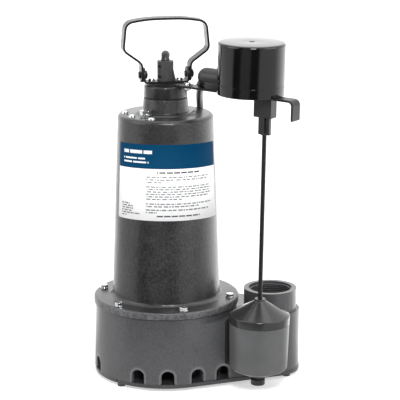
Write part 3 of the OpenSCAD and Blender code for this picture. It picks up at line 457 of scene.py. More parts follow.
def tube(name, lines, radius, smoothness, material):
    """A round cord or bead, radius in mm, along each line of points in metres."""
    data = bpy.data.curves.new(name, "CURVE")
    data.dimensions = "3D"
    data.bevel_depth = radius * MM
    data.bevel_resolution = smoothness
    data.use_fill_caps = True
    for points in lines:
        spline = data.splines.new("POLY")
        spline.points.add(len(points) - 1)
        for spot, point in zip(spline.points, points):
            spot.co = (*point, 1)
    data.materials.append(material)
    return add(name, data)


def cord_curve(name, points, nodes):
    piece = tube(name, [[point * MM for point in points]], CORD_R, 6, cord_jacket)
    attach(piece, "pump")
    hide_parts(*nodes)
    print(name, "points:", len(points))
    return piece


motor_cord = cord_curve("motor_lead", motor_line, ["motor_cord", "motor_coil"])
switch_cord = cord_curve("switch_lead", switch_line, ["switch_cord", "switch_coil"])

# %% [markdown]
# ## Bright zinc, steel and other metals
#
# The plug blades are brass and the bolts are bright zinc: metals with a
# slightly blotchy film. The shaft, bearings and laminations inside are plain
# steel. One function serves them all: each metal has its own colour, roughness
# and blotches, and stretched lines stand for turning marks or stacked sheets.

# %% Metals


def metal(name, colour, rough, blotch_mm, stretch=None):
    finish = Finish(name, metallic=1.0)
    film = finish.noise(blotch_mm, 3, 0.6)
    lines = finish.noise(0.5, 2, 0.5, stretch)
    tone = finish.mix(film.ramp(0.3, 0.7), shaded(colour, 0.72), colour)
    gloss = rough + film * 0.12 + lines * 0.06
    normal = finish.bump(lines, 0.02, 0.4)
    return finish.set(base_color=tone, roughness=gloss, normal=normal).material


# name, colour, roughness, width of the blotches in mm, stretch of the lines
bright_zinc = metal("bright_zinc", (0.8, 0.81, 0.82), 0.1, 3)
ground_steel = metal("ground_steel", (0.56, 0.56, 0.57), 0.2, 9, (1, 1, 0.1))
lamination_steel = metal("lamination_steel", (0.36, 0.36, 0.37), 0.34, 6, (0.1, 0.1, 2))
winding_copper = metal("winding_copper", (0.62, 0.27, 0.12), 0.3, 3, (1, 1, 3))
blade_brass = metal("blade_brass", (0.78, 0.62, 0.34), 0.18, 5)
print("metals made: 5")

# %% [markdown]
# ### Plugs and strain reliefs
#
# Each cord ends in a moulded plug with brass blades and starts in a moulded
# relief, the elbow or the tapered boot. Their solids have the right form and
# only get softer edges.

# %% Plugs and reliefs
for node, material, slot, round_mm in (
    ("motor_plug", cord_jacket, "cord_jacket", 0.8),
    ("motor_blades", blade_brass, "brass", 0.25),
    ("switch_plug", cord_jacket, "cord_jacket", 0.8),
    ("switch_blades", blade_brass, "brass", 0.25),
):
    soften(node, material, "pump", round_mm, node + "_end")
soften("motor_boot", cord_jacket, "pump", 0.2, "motor_elbow", sharp=50)
soften("switch_boot", cord_jacket, "pump", 0.2, "switch_relief", sharp=50)
for piece, exit_point, line, ends in (
    (motor_cord, motor_exit, motor_line, ("motor_plug", "motor_blades")),
    (switch_cord, switch_exit, switch_line, ("switch_plug", "switch_blades")),
):
    exit_point * MM
    round(line_length(line)) * MM

# %% [markdown]
# ## Turned shapes
#
# Much of a pump is round: the housing, the caps and the float are lathe work.
# A profile of a few corners is drawn as wire, each corner is rounded with a
# vertex bevel, and one full spin makes the body. That gives finer and smoother
# curves than the CAD mesh has, with the rounds exactly where a maker puts them.

# %% Lathe
MERGE_M = 1e-6


def round_off(bm, geom, round_mm, segments, affect):
    """Roll edges or vertices over with a bevel."""
    bmesh.ops.bevel(
        bm, geom=geom, offset=round_mm * MM, segments=segments, profile=0.5,
        affect=affect, material=-1,
    )


def turned_mesh(profile, steps=128, fillet_steps=5):
    """profile: rows of radius, height and length of the rounding along each side, in mm."""
    bm = bmesh.new()
    corners = [bm.verts.new((r * MM, 0, z * MM)) for r, z, _ in profile]
    for a, b in zip(corners, corners[1:]):
        bm.edges.new((a, b))
    for corner, (_, _, rounding) in zip(corners, profile):
        if rounding:
            round_off(bm, [corner], rounding, fillet_steps, "VERTICES")
    bmesh.ops.spin(
        bm, geom=bm.verts[:] + bm.edges[:], axis=(0, 0, 1), cent=(0, 0, 0),
        angle=math.tau, steps=steps, use_merge=True,
    )
    bmesh.ops.remove_doubles(bm, verts=bm.verts, dist=MERGE_M)
    return bm


def place_mesh(bm, matrix):
    bmesh.ops.transform(bm, matrix=matrix, verts=bm.verts)
    return bm


def from_front(angle, radius, z):
    """Matrix of a place at an angle counted from the front towards the discharge."""
    return turn(angle - 90, "Z") @ shift(radius, 0, z)


# %% [markdown]
# ## Enamel on cast iron
#
# The housing and the volute are sand castings under charcoal baked enamel. The
# sand leaves a pebble, the paint softens it into orange peel, and broad clouds
# in the gloss show where the coat ran thicker. On the rim of the flange, where
# the two halves of the mould met, the skin is lumpy and worn. So the finish
# mixes noises of four sizes, clouds, lumps, peel and grit, and a mask keeps the
# lumps to the rim. Round each inlet arch the volute gets a lighter band, a
# painted highlight for the light that the arch's rounded outline catches. That
# takes one more mask: the distance from the arch's middle line and springing,
# worked out for every arch on its own side of the pump. The painted highlight
# is full to 1 mm outside an arch and gone at 2.4 mm.

# %% Where the inlet arches are
ARCH_HALF, ARCH_SPRING, ARCH_FOOT = 8, 17, 9.5
ARCH_STEP = 24
# angle from the front, and how far to the side of that direction in mm
CONE_ARCHES = [(2 + ARCH_STEP * k, 0) for k in (0, 1, 6, 7, 9, 10, 11, 12, 14)]
WALL_ARCHES = [(153.674, -38), (20.454, 38)]
ARCHES = CONE_ARCHES + WALL_ARCHES
# How far outside an arch the painted highlight is full, and where it ends, in mm.
ARCH_LIGHT_FULL, ARCH_LIGHT_END = 1, 2.4
OWN_SIDE = 60


def arch_rims(finish, where, height):
    """1 over every inlet arch and just round it, 0 elsewhere."""
    above = (height - ARCH_SPRING * MM).math("MAXIMUM", 0)
    total = 0
    for angle, offset in ARCHES:
        a = math.radians(angle)
        side = finish.vector("DOT_PRODUCT", where, (math.cos(a), math.sin(a), 0)) - offset * MM
        ahead = finish.vector("DOT_PRODUCT", where, (math.sin(a), -math.cos(a), 0)) > OWN_SIDE * MM
        away = (side * side + above * above).math("SQRT")
        arch_light = away.ramp((ARCH_HALF + ARCH_LIGHT_END) * MM, (ARCH_HALF + ARCH_LIGHT_FULL) * MM)
        total = ahead * arch_light + total
    return total


# %% Cast enamel
RIM_FROM, RIM_TO, RIM_LOW, RIM_HIGH = 80.2, 84, 82.6, 90
RIM_TONE = (0.13, 0.131, 0.136)


def between(value, low, high):
    """1 where a length lies between two measures in mm."""
    return (value > low * MM) * (value < high * MM)


def cast_enamel(name, colour, grain=1.0, spread=0.5, arched=False):
    finish = Finish(name, coat_weight=0.25, coat_roughness=0.22)
    where = finish.place()
    height = finish.axis(where, "Z")
    out = finish.vector("LENGTH", finish.vector("MULTIPLY", where, (1, 1, 0)))
    rim = between(out, RIM_FROM, RIM_TO) * between(height, RIM_LOW, RIM_HIGH)
    clouds = finish.noise(34, 3, 0.6).ramp(0.3, 0.7)
    peel = finish.noise(2.4, 3, 0.65)
    grit = finish.noise(0.7, 2, 0.6)
    lumps = finish.noise(4.5, 3, 0.7)
    speck = (grit * 0.35 + peel * 0.65).ramp(0.38, 0.64)
    worn = rim * lumps.ramp(0.42, 0.62)
    amount = clouds * 0.35 + speck * 0.65
    tone = finish.mix(amount, shaded(colour, 1 - spread), shaded(colour, 1 + spread))
    tone = finish.mix(rim * 0.3 + worn * 0.5, tone, RIM_TONE)
    # A painted highlight: lighter colour in a band round every inlet arch.
    if arched:
        tone = finish.mix(arch_rims(finish, where, height), tone, shaded(colour, 2))
    rough = 0.26 + clouds * 0.1 + speck * 0.1 + rim * 0.08
    coarse = finish.bump(peel, 0.3 * grain, 0.7)
    fine = finish.bump(grit, 0.08 * grain, 0.5, under=coarse)
    skin = finish.bump(lumps * rim, 1.6, 0.9, under=fine)
    return finish.set(base_color=tone, roughness=rough, normal=skin).material


# name, colour, depth of the grain, spread of the tone
housing_enamel = cast_enamel("housing_enamel", (0.02, 0.0202, 0.0214), 1.5, 0.9)
volute_enamel = cast_enamel("volute_enamel", (0.058, 0.0585, 0.0615), 1.2, 0.3, arched=True)
plate_enamel = cast_enamel("plate_enamel", (0.033, 0.0335, 0.0355), 1.4)
# Lighter enamel for rolled edges and arch lips: a painted highlight where edges catch the light,
# partly paint that drew back from the edge.
edge_highlight_enamel = cast_enamel("edge_highlight_enamel", (0.085, 0.0855, 0.089))
collar_enamel = cast_enamel("collar_enamel", (0.009, 0.0091, 0.0096))
print("enamels made: 5")

# %% [markdown]
# ## The motor housing
#
# One tall casting: a bolting flange, a barrel that tapers for draft, a rounded
# shoulder, a raised pad and the neck that carries the cap. It is turned from a
# single profile. The cavity for the motor is part of the profile too, so the
# shell is a real wall and not a solid plug.

# %% Motor housing
FLANGE_TOP = 90.5
BARREL_TOP = 297
housing_profile = [
    (0, 284, 0), (47.5, 284, 3), (47.5, 82.4, 0), (81.46, 82.4, 0.5), (81.46, FLANGE_TOP, 2.2),
    (60.4, FLANGE_TOP, 4.5), (52.85, BARREL_TOP, 4.6), (33.8, BARREL_TOP, 1.6),
    (31, 299.5, 1.4), (25.6, 299.5, 1.1), (24.2, 314.5, 0.5), (0, 314.5, 0),
]
housing = turned_mesh(housing_profile, 160)
dress("housing_casting", housing, housing_enamel, "pump", ["motor_housing"])
LOW_R, LOW_Z, HIGH_R, HIGH_Z = 60.25, 94.5, 53, 292


def barrel_radius(z):
    """Radius of the barrel's outside at a height in mm."""
    return LOW_R + (HIGH_R - LOW_R) * (z - LOW_Z) / (HIGH_Z - LOW_Z)


LABEL_R = barrel_radius(230)
print("barrel at the label:", round(LABEL_R, 2), "mm")

# %% [markdown]
# ## The neck cap
#
# The iron cap that closes the neck and carries both straps. Its foot has a
# small chamfer, so that the seal under it shows as a dark line.

# %% Neck cap
cap_profile = [
    (18, 315.1, 0.3), (23.3, 315.1, 0.2), (23.9, 315.9, 0.3), (23.5, 328.6, 1.6),
    (5, 328.6, 0.2), (5, 323.6, 0), (18, 323.6, 0.5), (18, 315.1, 0.3),
]
neck = turned_mesh(cap_profile, 96)
dress("neck_casting", neck, collar_enamel, "pump", ["neck_cap"])

# %% [markdown]
# ## Volute and bottom plate
#
# The volute with its inlet arches, discharge collar and float recess is
# exactly right as a solid. It only needs the soft edges of a casting. The
# Bevel modifier gives its own faces a second, lighter enamel: round the
# arches, the collar and the foot. That lighter colour is a painted highlight
# for the light the rounded edges catch, and partly paint that drew back from
# the edges as it baked.

# %% Softened castings
soften("volute", volute_enamel, "pump", 1.5, "volute_casting", 3, edge=edge_highlight_enamel)
soften("base_plate", plate_enamel, "pump", 0.6, "bottom_casting", edge=edge_highlight_enamel)

# %% [markdown]
# ### Lips of the inlet arches
#
# The mould leaves a full round lip on every inlet arch, wider than a Bevel
# modifier can roll on such a busy solid. A curve with a round bevel follows
# each arch's outline just inside the wall's face: half of the bead is buried
# in the wall and the other half is the lip. Nine arches stand on the cone of
# the volute and two in the flat walls that lead to the discharge.

# %% Arch lips
LIP_R = 1
CONE_FOOT, CONE_SLOPE, FLAT_WALL = 81.45, 2 / 73.3, 79.45
JAMB_PARTS, ROUND_PARTS = 3, 16
jamb = [ARCH_FOOT + (ARCH_SPRING - ARCH_FOOT) * k / JAMB_PARTS for k in range(JAMB_PARTS)]
outline = [(-ARCH_HALF, z) for z in jamb]
for k in range(ROUND_PARTS + 1):
    a = math.pi * k / ROUND_PARTS
    outline.append((-ARCH_HALF * math.cos(a), ARCH_SPRING + ARCH_HALF * math.sin(a)))
outline += [(ARCH_HALF, z) for z in reversed(jamb)]


def lip_on_cone(side, z):
    """A point of a lip in the curved wall. The way to the side follows the curve."""
    r, a = CONE_FOOT - LIP_R - CONE_SLOPE * (z - ARCH_FOOT), side / CONE_FOOT
    return Vector((r * math.cos(a), r * math.sin(a), z)) * MM


def lip_on_wall(side, z):
    return Vector((FLAT_WALL - LIP_R, side, z)) * MM


lip_lines = []
for angle, offset in ARCHES:
    place, turned = lip_on_wall if offset else lip_on_cone, from_front(angle, 0, 0)
    lip_lines.append([turned @ place(side + offset, z) for side, z in outline])
# The lips take the lighter edge enamel, a painted highlight along each arch's outline.
lips = tube("arch_lips", lip_lines, LIP_R, 3, edge_highlight_enamel)
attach(lips, "pump")
print("arch lips:", len(lip_lines))

# %% [markdown]
# ## Thread in the discharge
#
# A pipe screws into the discharge. The solid has a smooth bore of the thread's
# outer radius, so the ridges between the grooves are added here: one small
# trapezium, swept round and down with the pitch of an 11-1/2 per inch thread.

# %% Discharge thread
PITCH = 25.4 / 11.5
TURNS, STEPS = 10, 72
DISCHARGE_X, DISCHARGE_Y = 117, -6
FOOT_HALF, CREST_HALF, SUNK = 0.95, 0.12, 0.2


def thread_mesh(radius, depth, top):
    """A ridge whose foot is sunk a little into the wall of the bore."""
    bm = bmesh.new()
    foot, crest = radius + SUNK, radius - depth
    trapezium = [(foot, FOOT_HALF), (crest, CREST_HALF), (crest, -CREST_HALF), (foot, -FOOT_HALF)]
    ridge = bm.faces.new([bm.verts.new((r * MM, 0, (top + up) * MM)) for r, up in trapezium])
    made = bmesh.ops.spin(
        bm, geom=[ridge] + ridge.edges[:] + ridge.verts[:], axis=(0, 0, 1), cent=(0, 0, 0),
        dvec=(0, 0, -PITCH * MM / STEPS), angle=math.tau * TURNS, steps=STEPS * TURNS,
    )
    print("thread ends:", len(made["geom_last"]))
    return bm


in_discharge = shift(DISCHARGE_X, DISCHARGE_Y, 0)
thread = place_mesh(thread_mesh(radius=24.15, depth=1.35, top=95.6), in_discharge)
dress("discharge_thread", thread, volute_enamel, "pump", sharp=50)

# %% [markdown]
# ## Flange bolts
#
# Six zinc bolts with a pressed-on washer. A hexagon from a six-sided cone is
# chamfered at the top by a small bevel and dished by an inset, and the washer
# and the shank are turned. The same bolt is made for each of six places round
# the flange, and each is turned a little further, as a wrench leaves it.

# %% Flange bolts
BOLT_CIRCLE, FIRST_BOLT = 73.5, 16


def hexagon_mesh(across_corners, height, chamfer, base, dish, dish_depth):
    bm = bmesh.new()
    radius = across_corners / 2 * MM
    bmesh.ops.create_cone(
        bm, cap_ends=True, segments=6, radius1=radius, radius2=radius, depth=height * MM,
        matrix=shift(0, 0, base + height / 2),
    )
    top = [e for e in bm.edges if all(v.co.z > (base + height) * MM - 1e-7 for v in e.verts)]
    round_off(bm, top, chamfer, 2, "EDGES")
    cap = max(bm.faces, key=lambda face: face.calc_center_median().z)
    bmesh.ops.inset_region(bm, faces=[cap], thickness=dish * MM, use_even_offset=True)
    bmesh.ops.translate(bm, verts=cap.verts[:], vec=(0, 0, -dish_depth * MM))
    return bm


def join_meshes(parts):
    """One bmesh out of several, each of which is used up."""
    whole = bmesh.new()
    for part in parts:
        mesh = bpy.data.meshes.new("part")
        part.to_mesh(mesh)
        part.free()
        whole.from_mesh(mesh)
        bpy.data.meshes.remove(mesh)
    return whole


washer_profile = [(0, 0, 0), (4.75, 0, 0.2), (4.75, 1.0, 0.3), (4.2, 1.25, 0.1), (0, 1.25, 0)]
shank_profile = [(0, -21.9, 0), (3, -21.9, 0.6), (3, 0.1, 0), (0, 0.1, 0)]


def bolt_mesh():
    head = hexagon_mesh(9.2, height=3, chamfer=0.45, base=1.1, dish=1.4, dish_depth=0.5)
    washer, shank = turned_mesh(washer_profile, 32, 2), turned_mesh(shank_profile, 24, 2)
    return join_meshes([head, washer, shank])


set_of_six = []
for k in range(6):
    spot = from_front(FIRST_BOLT + 60 * k, BOLT_CIRCLE, FLANGE_TOP)
    set_of_six.append(place_mesh(bolt_mesh(), spot @ turn(23 * k, "Z")))
bolts = join_meshes(set_of_six)
dress("flange_bolt_set", bolts, bright_zinc, "pump", ["flange_bolts"], 30)

# %% [markdown]
# ## Fasteners on the shoulder and the straps
#
# Oil plug, screws and the plate's screws keep their solids, with a small round
# on every edge so that they glint.

# %% Small fasteners
for node in ("oil_plug", "shoulder_screws", "bracket_screws", "arm_screw", "plate_screws"):
    soften(node, bright_zinc, "pump", 0.3, node + "_set")

# %% [markdown]
# ## Straps
#
# The handle, its bracket and the switch arm are strap steel in black paint,
# 2.3 mm thick. The paint is smooth and a little scuffed, so a stretched noise
# wears the gloss in short lines. The sheared edges are rounded by half a
# millimetre, which draws the fine bright line along each strap. The float rod
# gets the same black under a name of its own.

# %% Strap paint and straps
STRAP_COLOUR = (0.01, 0.01, 0.0105)


def strap_paint(name):
    finish = Finish(name, specular_ior_level=0.32)
    clouds = finish.noise(18, 3, 0.6)
    scuffs = finish.noise(1.2, 3, 0.7, (0.25, 0.25, 1)).ramp(0.55, 0.72)
    tone = finish.mix(scuffs * 0.5, STRAP_COLOUR, shaded(STRAP_COLOUR, 3.2))
    gloss = 0.26 + clouds * 0.12 + scuffs * 0.15
    normal = finish.bump(clouds, 0.06, 0.3)
    return finish.set(base_color=tone, roughness=gloss, normal=normal).material


black_strap = strap_paint("black_strap")
rod_black = strap_paint("rod_black")
for node, body, round_mm in (
    ("handle", "handle", 0.55),
    ("handle_bracket", "pump", 0.5),
    ("switch_arm", "pump", 0.55),
    ("pivot_bolts", "pump", 0.3),
    ("pivot_nuts", "pump", 0.3),
):
    soften(node, black_strap, body, round_mm, node + "_strap")

# %% [markdown]
# ## The switch
#
# The float switch lives under a gloss black cap with a fine parting line near
# its foot and the small dimple of the mould's gate in the middle of its top.
# The cap is turned as a hollow shell and carried to its place on the arm.

# %% Switch cap
switch_cap_profile = [
    (0, 53, 0), (33.4, 53, 2), (33.4, 0, 0.3), (36.4, 0, 0.4),
    (36.4, 10.6, 0.1), (36.1, 10.75, 0.1), (36.1, 11.0, 0.1), (36.4, 11.15, 0.1),
    (36.4, 55.9, 2.7), (3.2, 56, 0.3), (2.6, 55.3, 0.2), (0, 55.2, 0),
]
switch_cap = place_mesh(turned_mesh(switch_cap_profile, 160, 6), ON_ARM @ shift(SWITCH_X, 0, 0))
dress("switch_cover", switch_cap, gloss_black, "pump", ["switch_cap"])
for node, material, slot, round_mm in (
    ("switch_base", gloss_black, "gloss_plastic", 0.4),
    ("rod_guide", nylon_black, "black_plastic", 0.6),
    ("switch_gland", nylon_black, "black_plastic", 0.8),
    ("motor_gland", gland_grey, "black_plastic", 0.5),
):
    soften(node, material, "pump", round_mm, node + "_body")

# %% [markdown]
# ### The saddle of the switch gland and the shade under it
#
# The gland rests on the arm in a small moulded saddle. A cube is scaled to the
# saddle's size and its edges are rolled over. It is also a dark block put where
# the gland shades the arm, so it stands in for the shade under the gland.

# %% Gland saddle, a dark block for the shade under the gland
# Partly a saddle, partly painted shade: a black block filling the shade under the gland.
SHADE_SADDLE = (17, 18, 9)
SHADE_SADDLE_X = SWITCH_X - 45.6
shade_saddle = bmesh.new()
bmesh.ops.create_cube(shade_saddle, size=1, matrix=Matrix.Diagonal([side * MM for side in SHADE_SADDLE] + [1]))
round_off(shade_saddle, shade_saddle.edges[:], 1.2, 3, "EDGES")
place_mesh(shade_saddle, ON_ARM @ shift(SHADE_SADDLE_X, 0, SHADE_SADDLE[2] / 2))
dress("gland_shade_saddle", shade_saddle, nylon_black, "pump")

# %% [markdown]
# ## Float and rod
#
# The float is two halves welded at a seam below the shoulder. The lower half
# is satin, the upper one came out of a polished mould and is glossier. Its
# colour is made darker too, a painted dark reflection of the dark room that
# its gloss mirrors. Each is turned with a hollow inside and a sleeve for the
# rod, and tiny rounds either side of the seam leave the line where they meet.

# %% Float
SEAM = 71.6
upper_profile = [
    (4.9, SEAM, 0), (4.9, 94.9, 0), (31.1, 79.5, 0.8), (31, SEAM, 0),
    (32.93, SEAM, 0.35), (33.15, 80.6, 0.8), (6.1, 96.5, 0.5), (6, 98.6, 0.5),
    (2.85, 98.6, 0.2), (2.85, SEAM, 0), (4.9, SEAM, 0),
]
lower_profile = [
    (4.9, SEAM, 0), (4.9, 11.5, 0), (8.5, 11.5, 0.5), (29.9, 21.4, 1.5), (31, SEAM, 0),
    (32.93, SEAM, 0.35), (31.75, 20.1, 1.9), (7.9, 9.1, 0.5), (2.85, 9.1, 0.2),
    (2.85, SEAM, 0), (4.9, SEAM, 0),
]
upper = place_mesh(turned_mesh(upper_profile), ON_ROD)
lower = place_mesh(turned_mesh(lower_profile), ON_ROD)
dress("float_top_half", upper, float_top_painted_shade, "float", ["float_upper"])
dress("float_bottom_half", lower, float_grey, "float", ["float_lower"])

# %% [markdown]
# ### What rides on the rod
#
# The rod is black coated steel, 3/16 inch. A ribbed coupler slides into the
# guide under the arm, and a stop at the foot carries the float when it rests.

# %% Rod, coupler and stop
ROD_R, ROD_END = 2.38, 345.04
rod_profile = [(0, 0, 0), (ROD_R, 0, 0.5), (ROD_R, ROD_END, 0.5), (0, ROD_END, 0)]
rod = place_mesh(turned_mesh(rod_profile, 48, 3), ON_ROD)
dress("rod_piece", rod, rod_black, "rod", ["float_rod"])
soften("rod_coupler", nylon_black, "rod", 0.45, "coupler_piece")
soften("rod_stop", nylon_black, "rod", 0.5, "stop_piece")

# %% [markdown]
# ## The label's place
#
# A foil label wraps round the front of the barrel. A flat rectangle gets its
# corners rounded, is cut into narrow strips and is then bent on to the barrel.
# A flat sheet on a cone runs a little downhill towards its ends: its edges
# follow a wide arc, so the drop grows with the square of the way along. The
# flat sheet's own coordinates are kept as UV, and the print is worked out from
# them.

# %% Label
LABEL_LOW, LABEL_HIGH = 187.8, 271.7
LABEL_FROM, LABEL_TO = -65.5, 75.5
LABEL_STRIPS = 96
LABEL_GAP = 0.16
EDGE_ARC_R = 750
LABEL_W = math.radians(LABEL_TO - LABEL_FROM) * LABEL_R
LABEL_H = LABEL_HIGH - LABEL_LOW


def label_mesh():
    bm = bmesh.new()
    size = Matrix.Diagonal((LABEL_W / 2 * MM, LABEL_H / 2 * MM, 1, 1))
    bmesh.ops.create_grid(bm, x_segments=1, y_segments=1, size=1, matrix=size)
    for side, rounding in ((-1, 3.2), (1, 0.8)):
        ends = [v for v in bm.verts if v.co.y * side > 0]
        round_off(bm, ends, rounding, 6, "VERTICES")
    for k in range(1, LABEL_STRIPS):
        cut = (k / LABEL_STRIPS - 0.5) * LABEL_W * MM
        sheet = bm.verts[:] + bm.edges[:] + bm.faces[:]
        bmesh.ops.bisect_plane(bm, geom=sheet, dist=1e-7, plane_co=(cut, 0, 0), plane_no=(1, 0, 0))
    sheet_uv = bm.loops.layers.uv.new("sheet")
    for face in bm.faces:
        for loop in face.loops:
            flat = loop.vert.co / MM
            loop[sheet_uv].uv = (flat.x / LABEL_W + 0.5, flat.y / LABEL_H + 0.5)
    for vert in bm.verts:
        along, up = vert.co.x / MM / LABEL_W + 0.5, vert.co.y / MM
        degrees = LABEL_FROM + (LABEL_TO - LABEL_FROM) * along
        drop = (math.radians(degrees) * LABEL_R) ** 2 / (2 * EDGE_ARC_R)
        z = (LABEL_LOW + LABEL_HIGH) / 2 + up - drop
        vert.co = from_front(degrees, barrel_radius(z) + LABEL_GAP, z).translation
    print("label:", round(LABEL_W, 1), "by", round(LABEL_H, 1), "mm")
    return bm


# %% [markdown]
# ### The label's print
#
# Blue above and white below. Where a maker would print a heading and small
# type stand plain bars, like the grey lines in the sketch of a page, without a
# letter in them. Each bar is a box in the sheet's own coordinates, and a row
# of gaps cuts it into pieces of uneven length. The bars bend with the label.

# %% Label print
BAND_V = 0.683
TYPE_HALF = 0.0085
# left end, height of the first line, lines in the sheet's height, right ends
PARAGRAPHS = [
    (0.31, 0.575, 29, (0.87, 0.85, 0.44)),
    (0.31, 0.447, 31, (0.88, 0.9, 0.88, 0.89, 0.86, 0.6)),
    (0.31, 0.222, 30, (0.9, 0.75)),
    (0.31, 0.142, 30, (0.86, 0.4)),
    (0.06, 0.21, 32, (0.16, 0.19, 0.2, 0.18, 0.26, 0.12)),
]
TYPE = [
    (left, right, first - k / lines, TYPE_HALF)
    for left, first, lines, ends in PARAGRAPHS
    for k, right in enumerate(ends)
]
HEADS = [(0.4, 0.77, 0.634, 0.011), (0.4, 0.76, 0.062, 0.009)]
BAND_BARS = [(0.075, 0.36, 0.9, 0.022), (0.075, 0.3, 0.815, 0.011), (0.075, 0.33, 0.765, 0.011)]


def bars(finish, u, v, boxes, cuts):
    """1 inside the boxes (from u, to u, middle v, half height), with gaps cut across.

    A cut repeats so many times over the sheet and takes a share of each turn. The
    gaps start at another place in each box.
    """
    total = 0
    for k, (left, right, middle, half) in enumerate(boxes):
        inside = (u > left) * (u < right) * (v > middle - half) * (v < middle + half)
        for rate, share in cuts:
            inside = inside * ((u * rate + 0.37 * k).math("FRACT") > share)
        total = inside + total
    return total


def label_print():
    finish = Finish("label_print", specular_ior_level=0.05)
    sheet = finish.node("UVMap", {"uv_map": "sheet"})
    u, v = finish.axis(sheet, "X"), finish.axis(sheet, "Y")
    fibre = finish.noise(6, 3, 0.5)
    small = bars(finish, u, v, TYPE, [(23, 0.16), (14.3, 0.1)])
    bold = bars(finish, u, v, HEADS, [(17, 0.14)])
    white = bars(finish, u, v, BAND_BARS, [(7.3, 0.09)])
    paper = finish.mix(fibre, (0.95, 0.95, 0.95), (0.97, 0.97, 0.97))
    printed = finish.mix(small * 0.85 + bold * 0.97, paper, (0.07, 0.075, 0.085))
    blue = finish.mix(fibre, (0.0, 0.039, 0.098), (0.001, 0.046, 0.113))
    band = finish.mix(white * 0.85, blue, (0.85, 0.88, 0.9))
    tone = finish.mix(v > BAND_V, printed, band)
    normal = finish.bump(finish.noise(14, 2, 0.4), 0.08, 0.3)
    return finish.set(base_color=tone, roughness=0.5 + fibre * 0.12, normal=normal).material


label = dress("label_sheet", label_mesh(), label_print(), "pump", sharp=60)
foil = label.modifiers.new("foil", "SOLIDIFY")
foil.thickness = 0.12 * MM
foil.offset = -1

# %% [markdown]
# ## Solids that keep their own shape
#
# What lies inside the pump is only seen when it is opened, and its solids are
# right as they are. Each gets the finish of its record slot.

# %% Finishes by slot
slot_finish = {
    "cast_iron": housing_enamel, "plate_iron": plate_enamel, "zinc": bright_zinc,
    "gasket": gasket_rubber, "steel": ground_steel, "laminations": lamination_steel,
    "copper": winding_copper, "black_plastic": nylon_black, "float_plastic": float_grey,
    "gloss_plastic": gloss_black, "black_strap": black_strap, "black_rod": rod_black,
    "cord_jacket": cord_jacket, "brass": blade_brass,
}
for row in frame["record"]["subparts"]:
    solid = frame["nodes"][row["node"]]
    solid.data.materials.clear()
    solid.data.materials.append(slot_finish[row["material_slot"]])

# %% [markdown]
# ## The room as a mirror sees it
#
# Black gloss shows its surroundings and little else, so what it mirrors is
# part of the lighting. The room is bright behind the pump and at both sides,
# dark at two narrow strips in front, and half bright between them. Those strips
# draw the calm dark bands along a cap, a barrel or a float. The pattern is
# turned a little to the left, as the window of a real studio would be. Its
# edges are given as cosines of the angle from the pattern's middle.

# %% The pattern round the pump
FRONT = math.radians(19)
SIDES, MIDDLE, BACK = (0.76, 0.67), (0.94, 0.98), (-0.2, -0.7)
MIDDLE_LIGHT = 0.4


def surroundings(nodes, direction, back_light):
    """Brightness by compass direction, 1 at the sides and more at the back."""
    unit = nodes.vector("NORMALIZE", nodes.vector("MULTIPLY", direction, (1, 1, 0)))
    facing = nodes.vector("DOT_PRODUCT", unit, (-math.sin(FRONT), -math.cos(FRONT), 0))
    front = facing.ramp(*SIDES) + MIDDLE_LIGHT * facing.ramp(*MIDDLE)
    return front + back_light * facing.ramp(*BACK)


# %% [markdown]
# ## Floor
#
# A pale floor. For the camera a little emission lifts it to white, more so far
# from the pump, and only the soft shadow stays. For reflections it carries the
# pattern of the room, and it is bright under the pump itself. Its distances are
# in metres.

# %% Floor
LIFT_FROM, LIFT_TO = 0.5, 2.5
BRIGHT_TO, BRIGHT_FROM = 0.32, 0.2
FLOOR_BACK = 1.6


def floor_paint():
    paint = Finish("floor_paint", roughness=0.9, specular_ior_level=0.1)
    where = paint.place()
    away = paint.vector("LENGTH", where)
    mottle = paint.noise(60, 2, 0.5)
    paint.set(base_color=paint.mix(mottle, (0.78, 0.78, 0.78), (0.8, 0.8, 0.8)))
    bare = Value(paint, paint.shader.outputs[0])
    lift = 0.5 + 0.5 * away.ramp(LIFT_FROM, LIFT_TO)
    lit = paint.node("AddShader", {}, [bare, paint.node("Emission", {}, {"Strength": lift})])
    under = away.ramp(BRIGHT_TO, BRIGHT_FROM)
    pattern = surroundings(paint, where, FLOOR_BACK).math("MAXIMUM", under)
    mirrored = paint.node("Emission", {}, {"Strength": pattern})
    seen = paint.node("MixShader", {}, [paint.ray("Is Camera Ray"), bare, lit])
    whole = paint.node("MixShader", {}, [paint.ray("Is Glossy Ray"), seen, mirrored])
    paint.tree.links.new(whole.socket, paint.tree.nodes["Material Output"].inputs[0])
    return paint.material


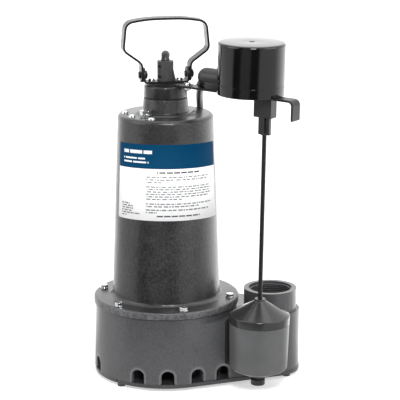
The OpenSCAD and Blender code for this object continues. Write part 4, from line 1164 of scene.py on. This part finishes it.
floor_bm = bmesh.new()
bmesh.ops.create_grid(floor_bm, x_segments=8, y_segments=8, size=12)
floor_mesh = bpy.data.meshes.new("floor")
floor_bm.to_mesh(floor_mesh)
floor_bm.free()
floor_mesh.materials.append(floor_paint())
floor = add("floor", floor_mesh)
print("floor faces:", len(floor_mesh.polygons))

# %% [markdown]
# ## Lamps
#
# Area lamps, because their soft edges give the calm light of a studio. One
# hangs over the pump and one stands high at each side. A small strong lamp in
# front, higher than the camera and a little to its right, draws the highlights
# along fillets and shoulders. All of them point at the middle of the pump.

# %% Lamps
AIM = Vector((0.03, 0, 0.2))


def soft_light(name, place, width, height, watts):
    data = bpy.data.lights.new(name, "AREA")
    data.shape = "RECTANGLE"
    data.size, data.size_y = width, height
    data.energy = watts
    lamp = add(name, data)
    lamp.location = place
    lamp.rotation_euler = (AIM - Vector(place)).to_track_quat("-Z", "Y").to_euler()


soft_light("top_light", (0.0, 0.1, 1.7), width=1.6, height=1.6, watts=9)
soft_light("key_light", (0.2, -1.4, 1.25), width=0.45, height=0.28, watts=19)
soft_light("left_light", (-1.7, -0.7, 1.1), width=1.5, height=1.3, watts=12)
soft_light("right_light", (1.7, -0.7, 1.1), width=1.5, height=1.3, watts=12)
print("lamps:", len(bpy.data.lights))

# %% [markdown]
# ## The room
#
# The world is white to the camera and behind glass, gives an even fill to the
# object, and shows the same pattern as the floor to a glossy surface.

# %% World
ROOM_BACK, FILL = 0.7, 0.5
world = bpy.data.worlds.new("studio")
bpy.context.scene.world = world
world.use_nodes = True
world.node_tree.nodes.clear()
room = Nodes(world.node_tree)


def glow(strength):
    return room.node("Background", {}, {"Color": (1, 1, 1), "Strength": strength})


compass = room.node("TexCoord", output="Generated")
mirrored = glow(surroundings(room, compass, ROOM_BACK))
lighting = room.node("MixShader", {}, [room.ray("Is Glossy Ray"), glow(FILL), mirrored])
through = room.ray("Is Camera Ray") + room.ray("Is Transmission Ray")
whole = room.node("MixShader", {}, [through, lighting, glow(1.0)])
end = room.tree.nodes.new("ShaderNodeOutputWorld")
room.tree.links.new(whole.socket, end.inputs["Surface"])
bpy.context.scene.view_settings.view_transform = "Standard"
print("world nodes:", len(room.tree.nodes))
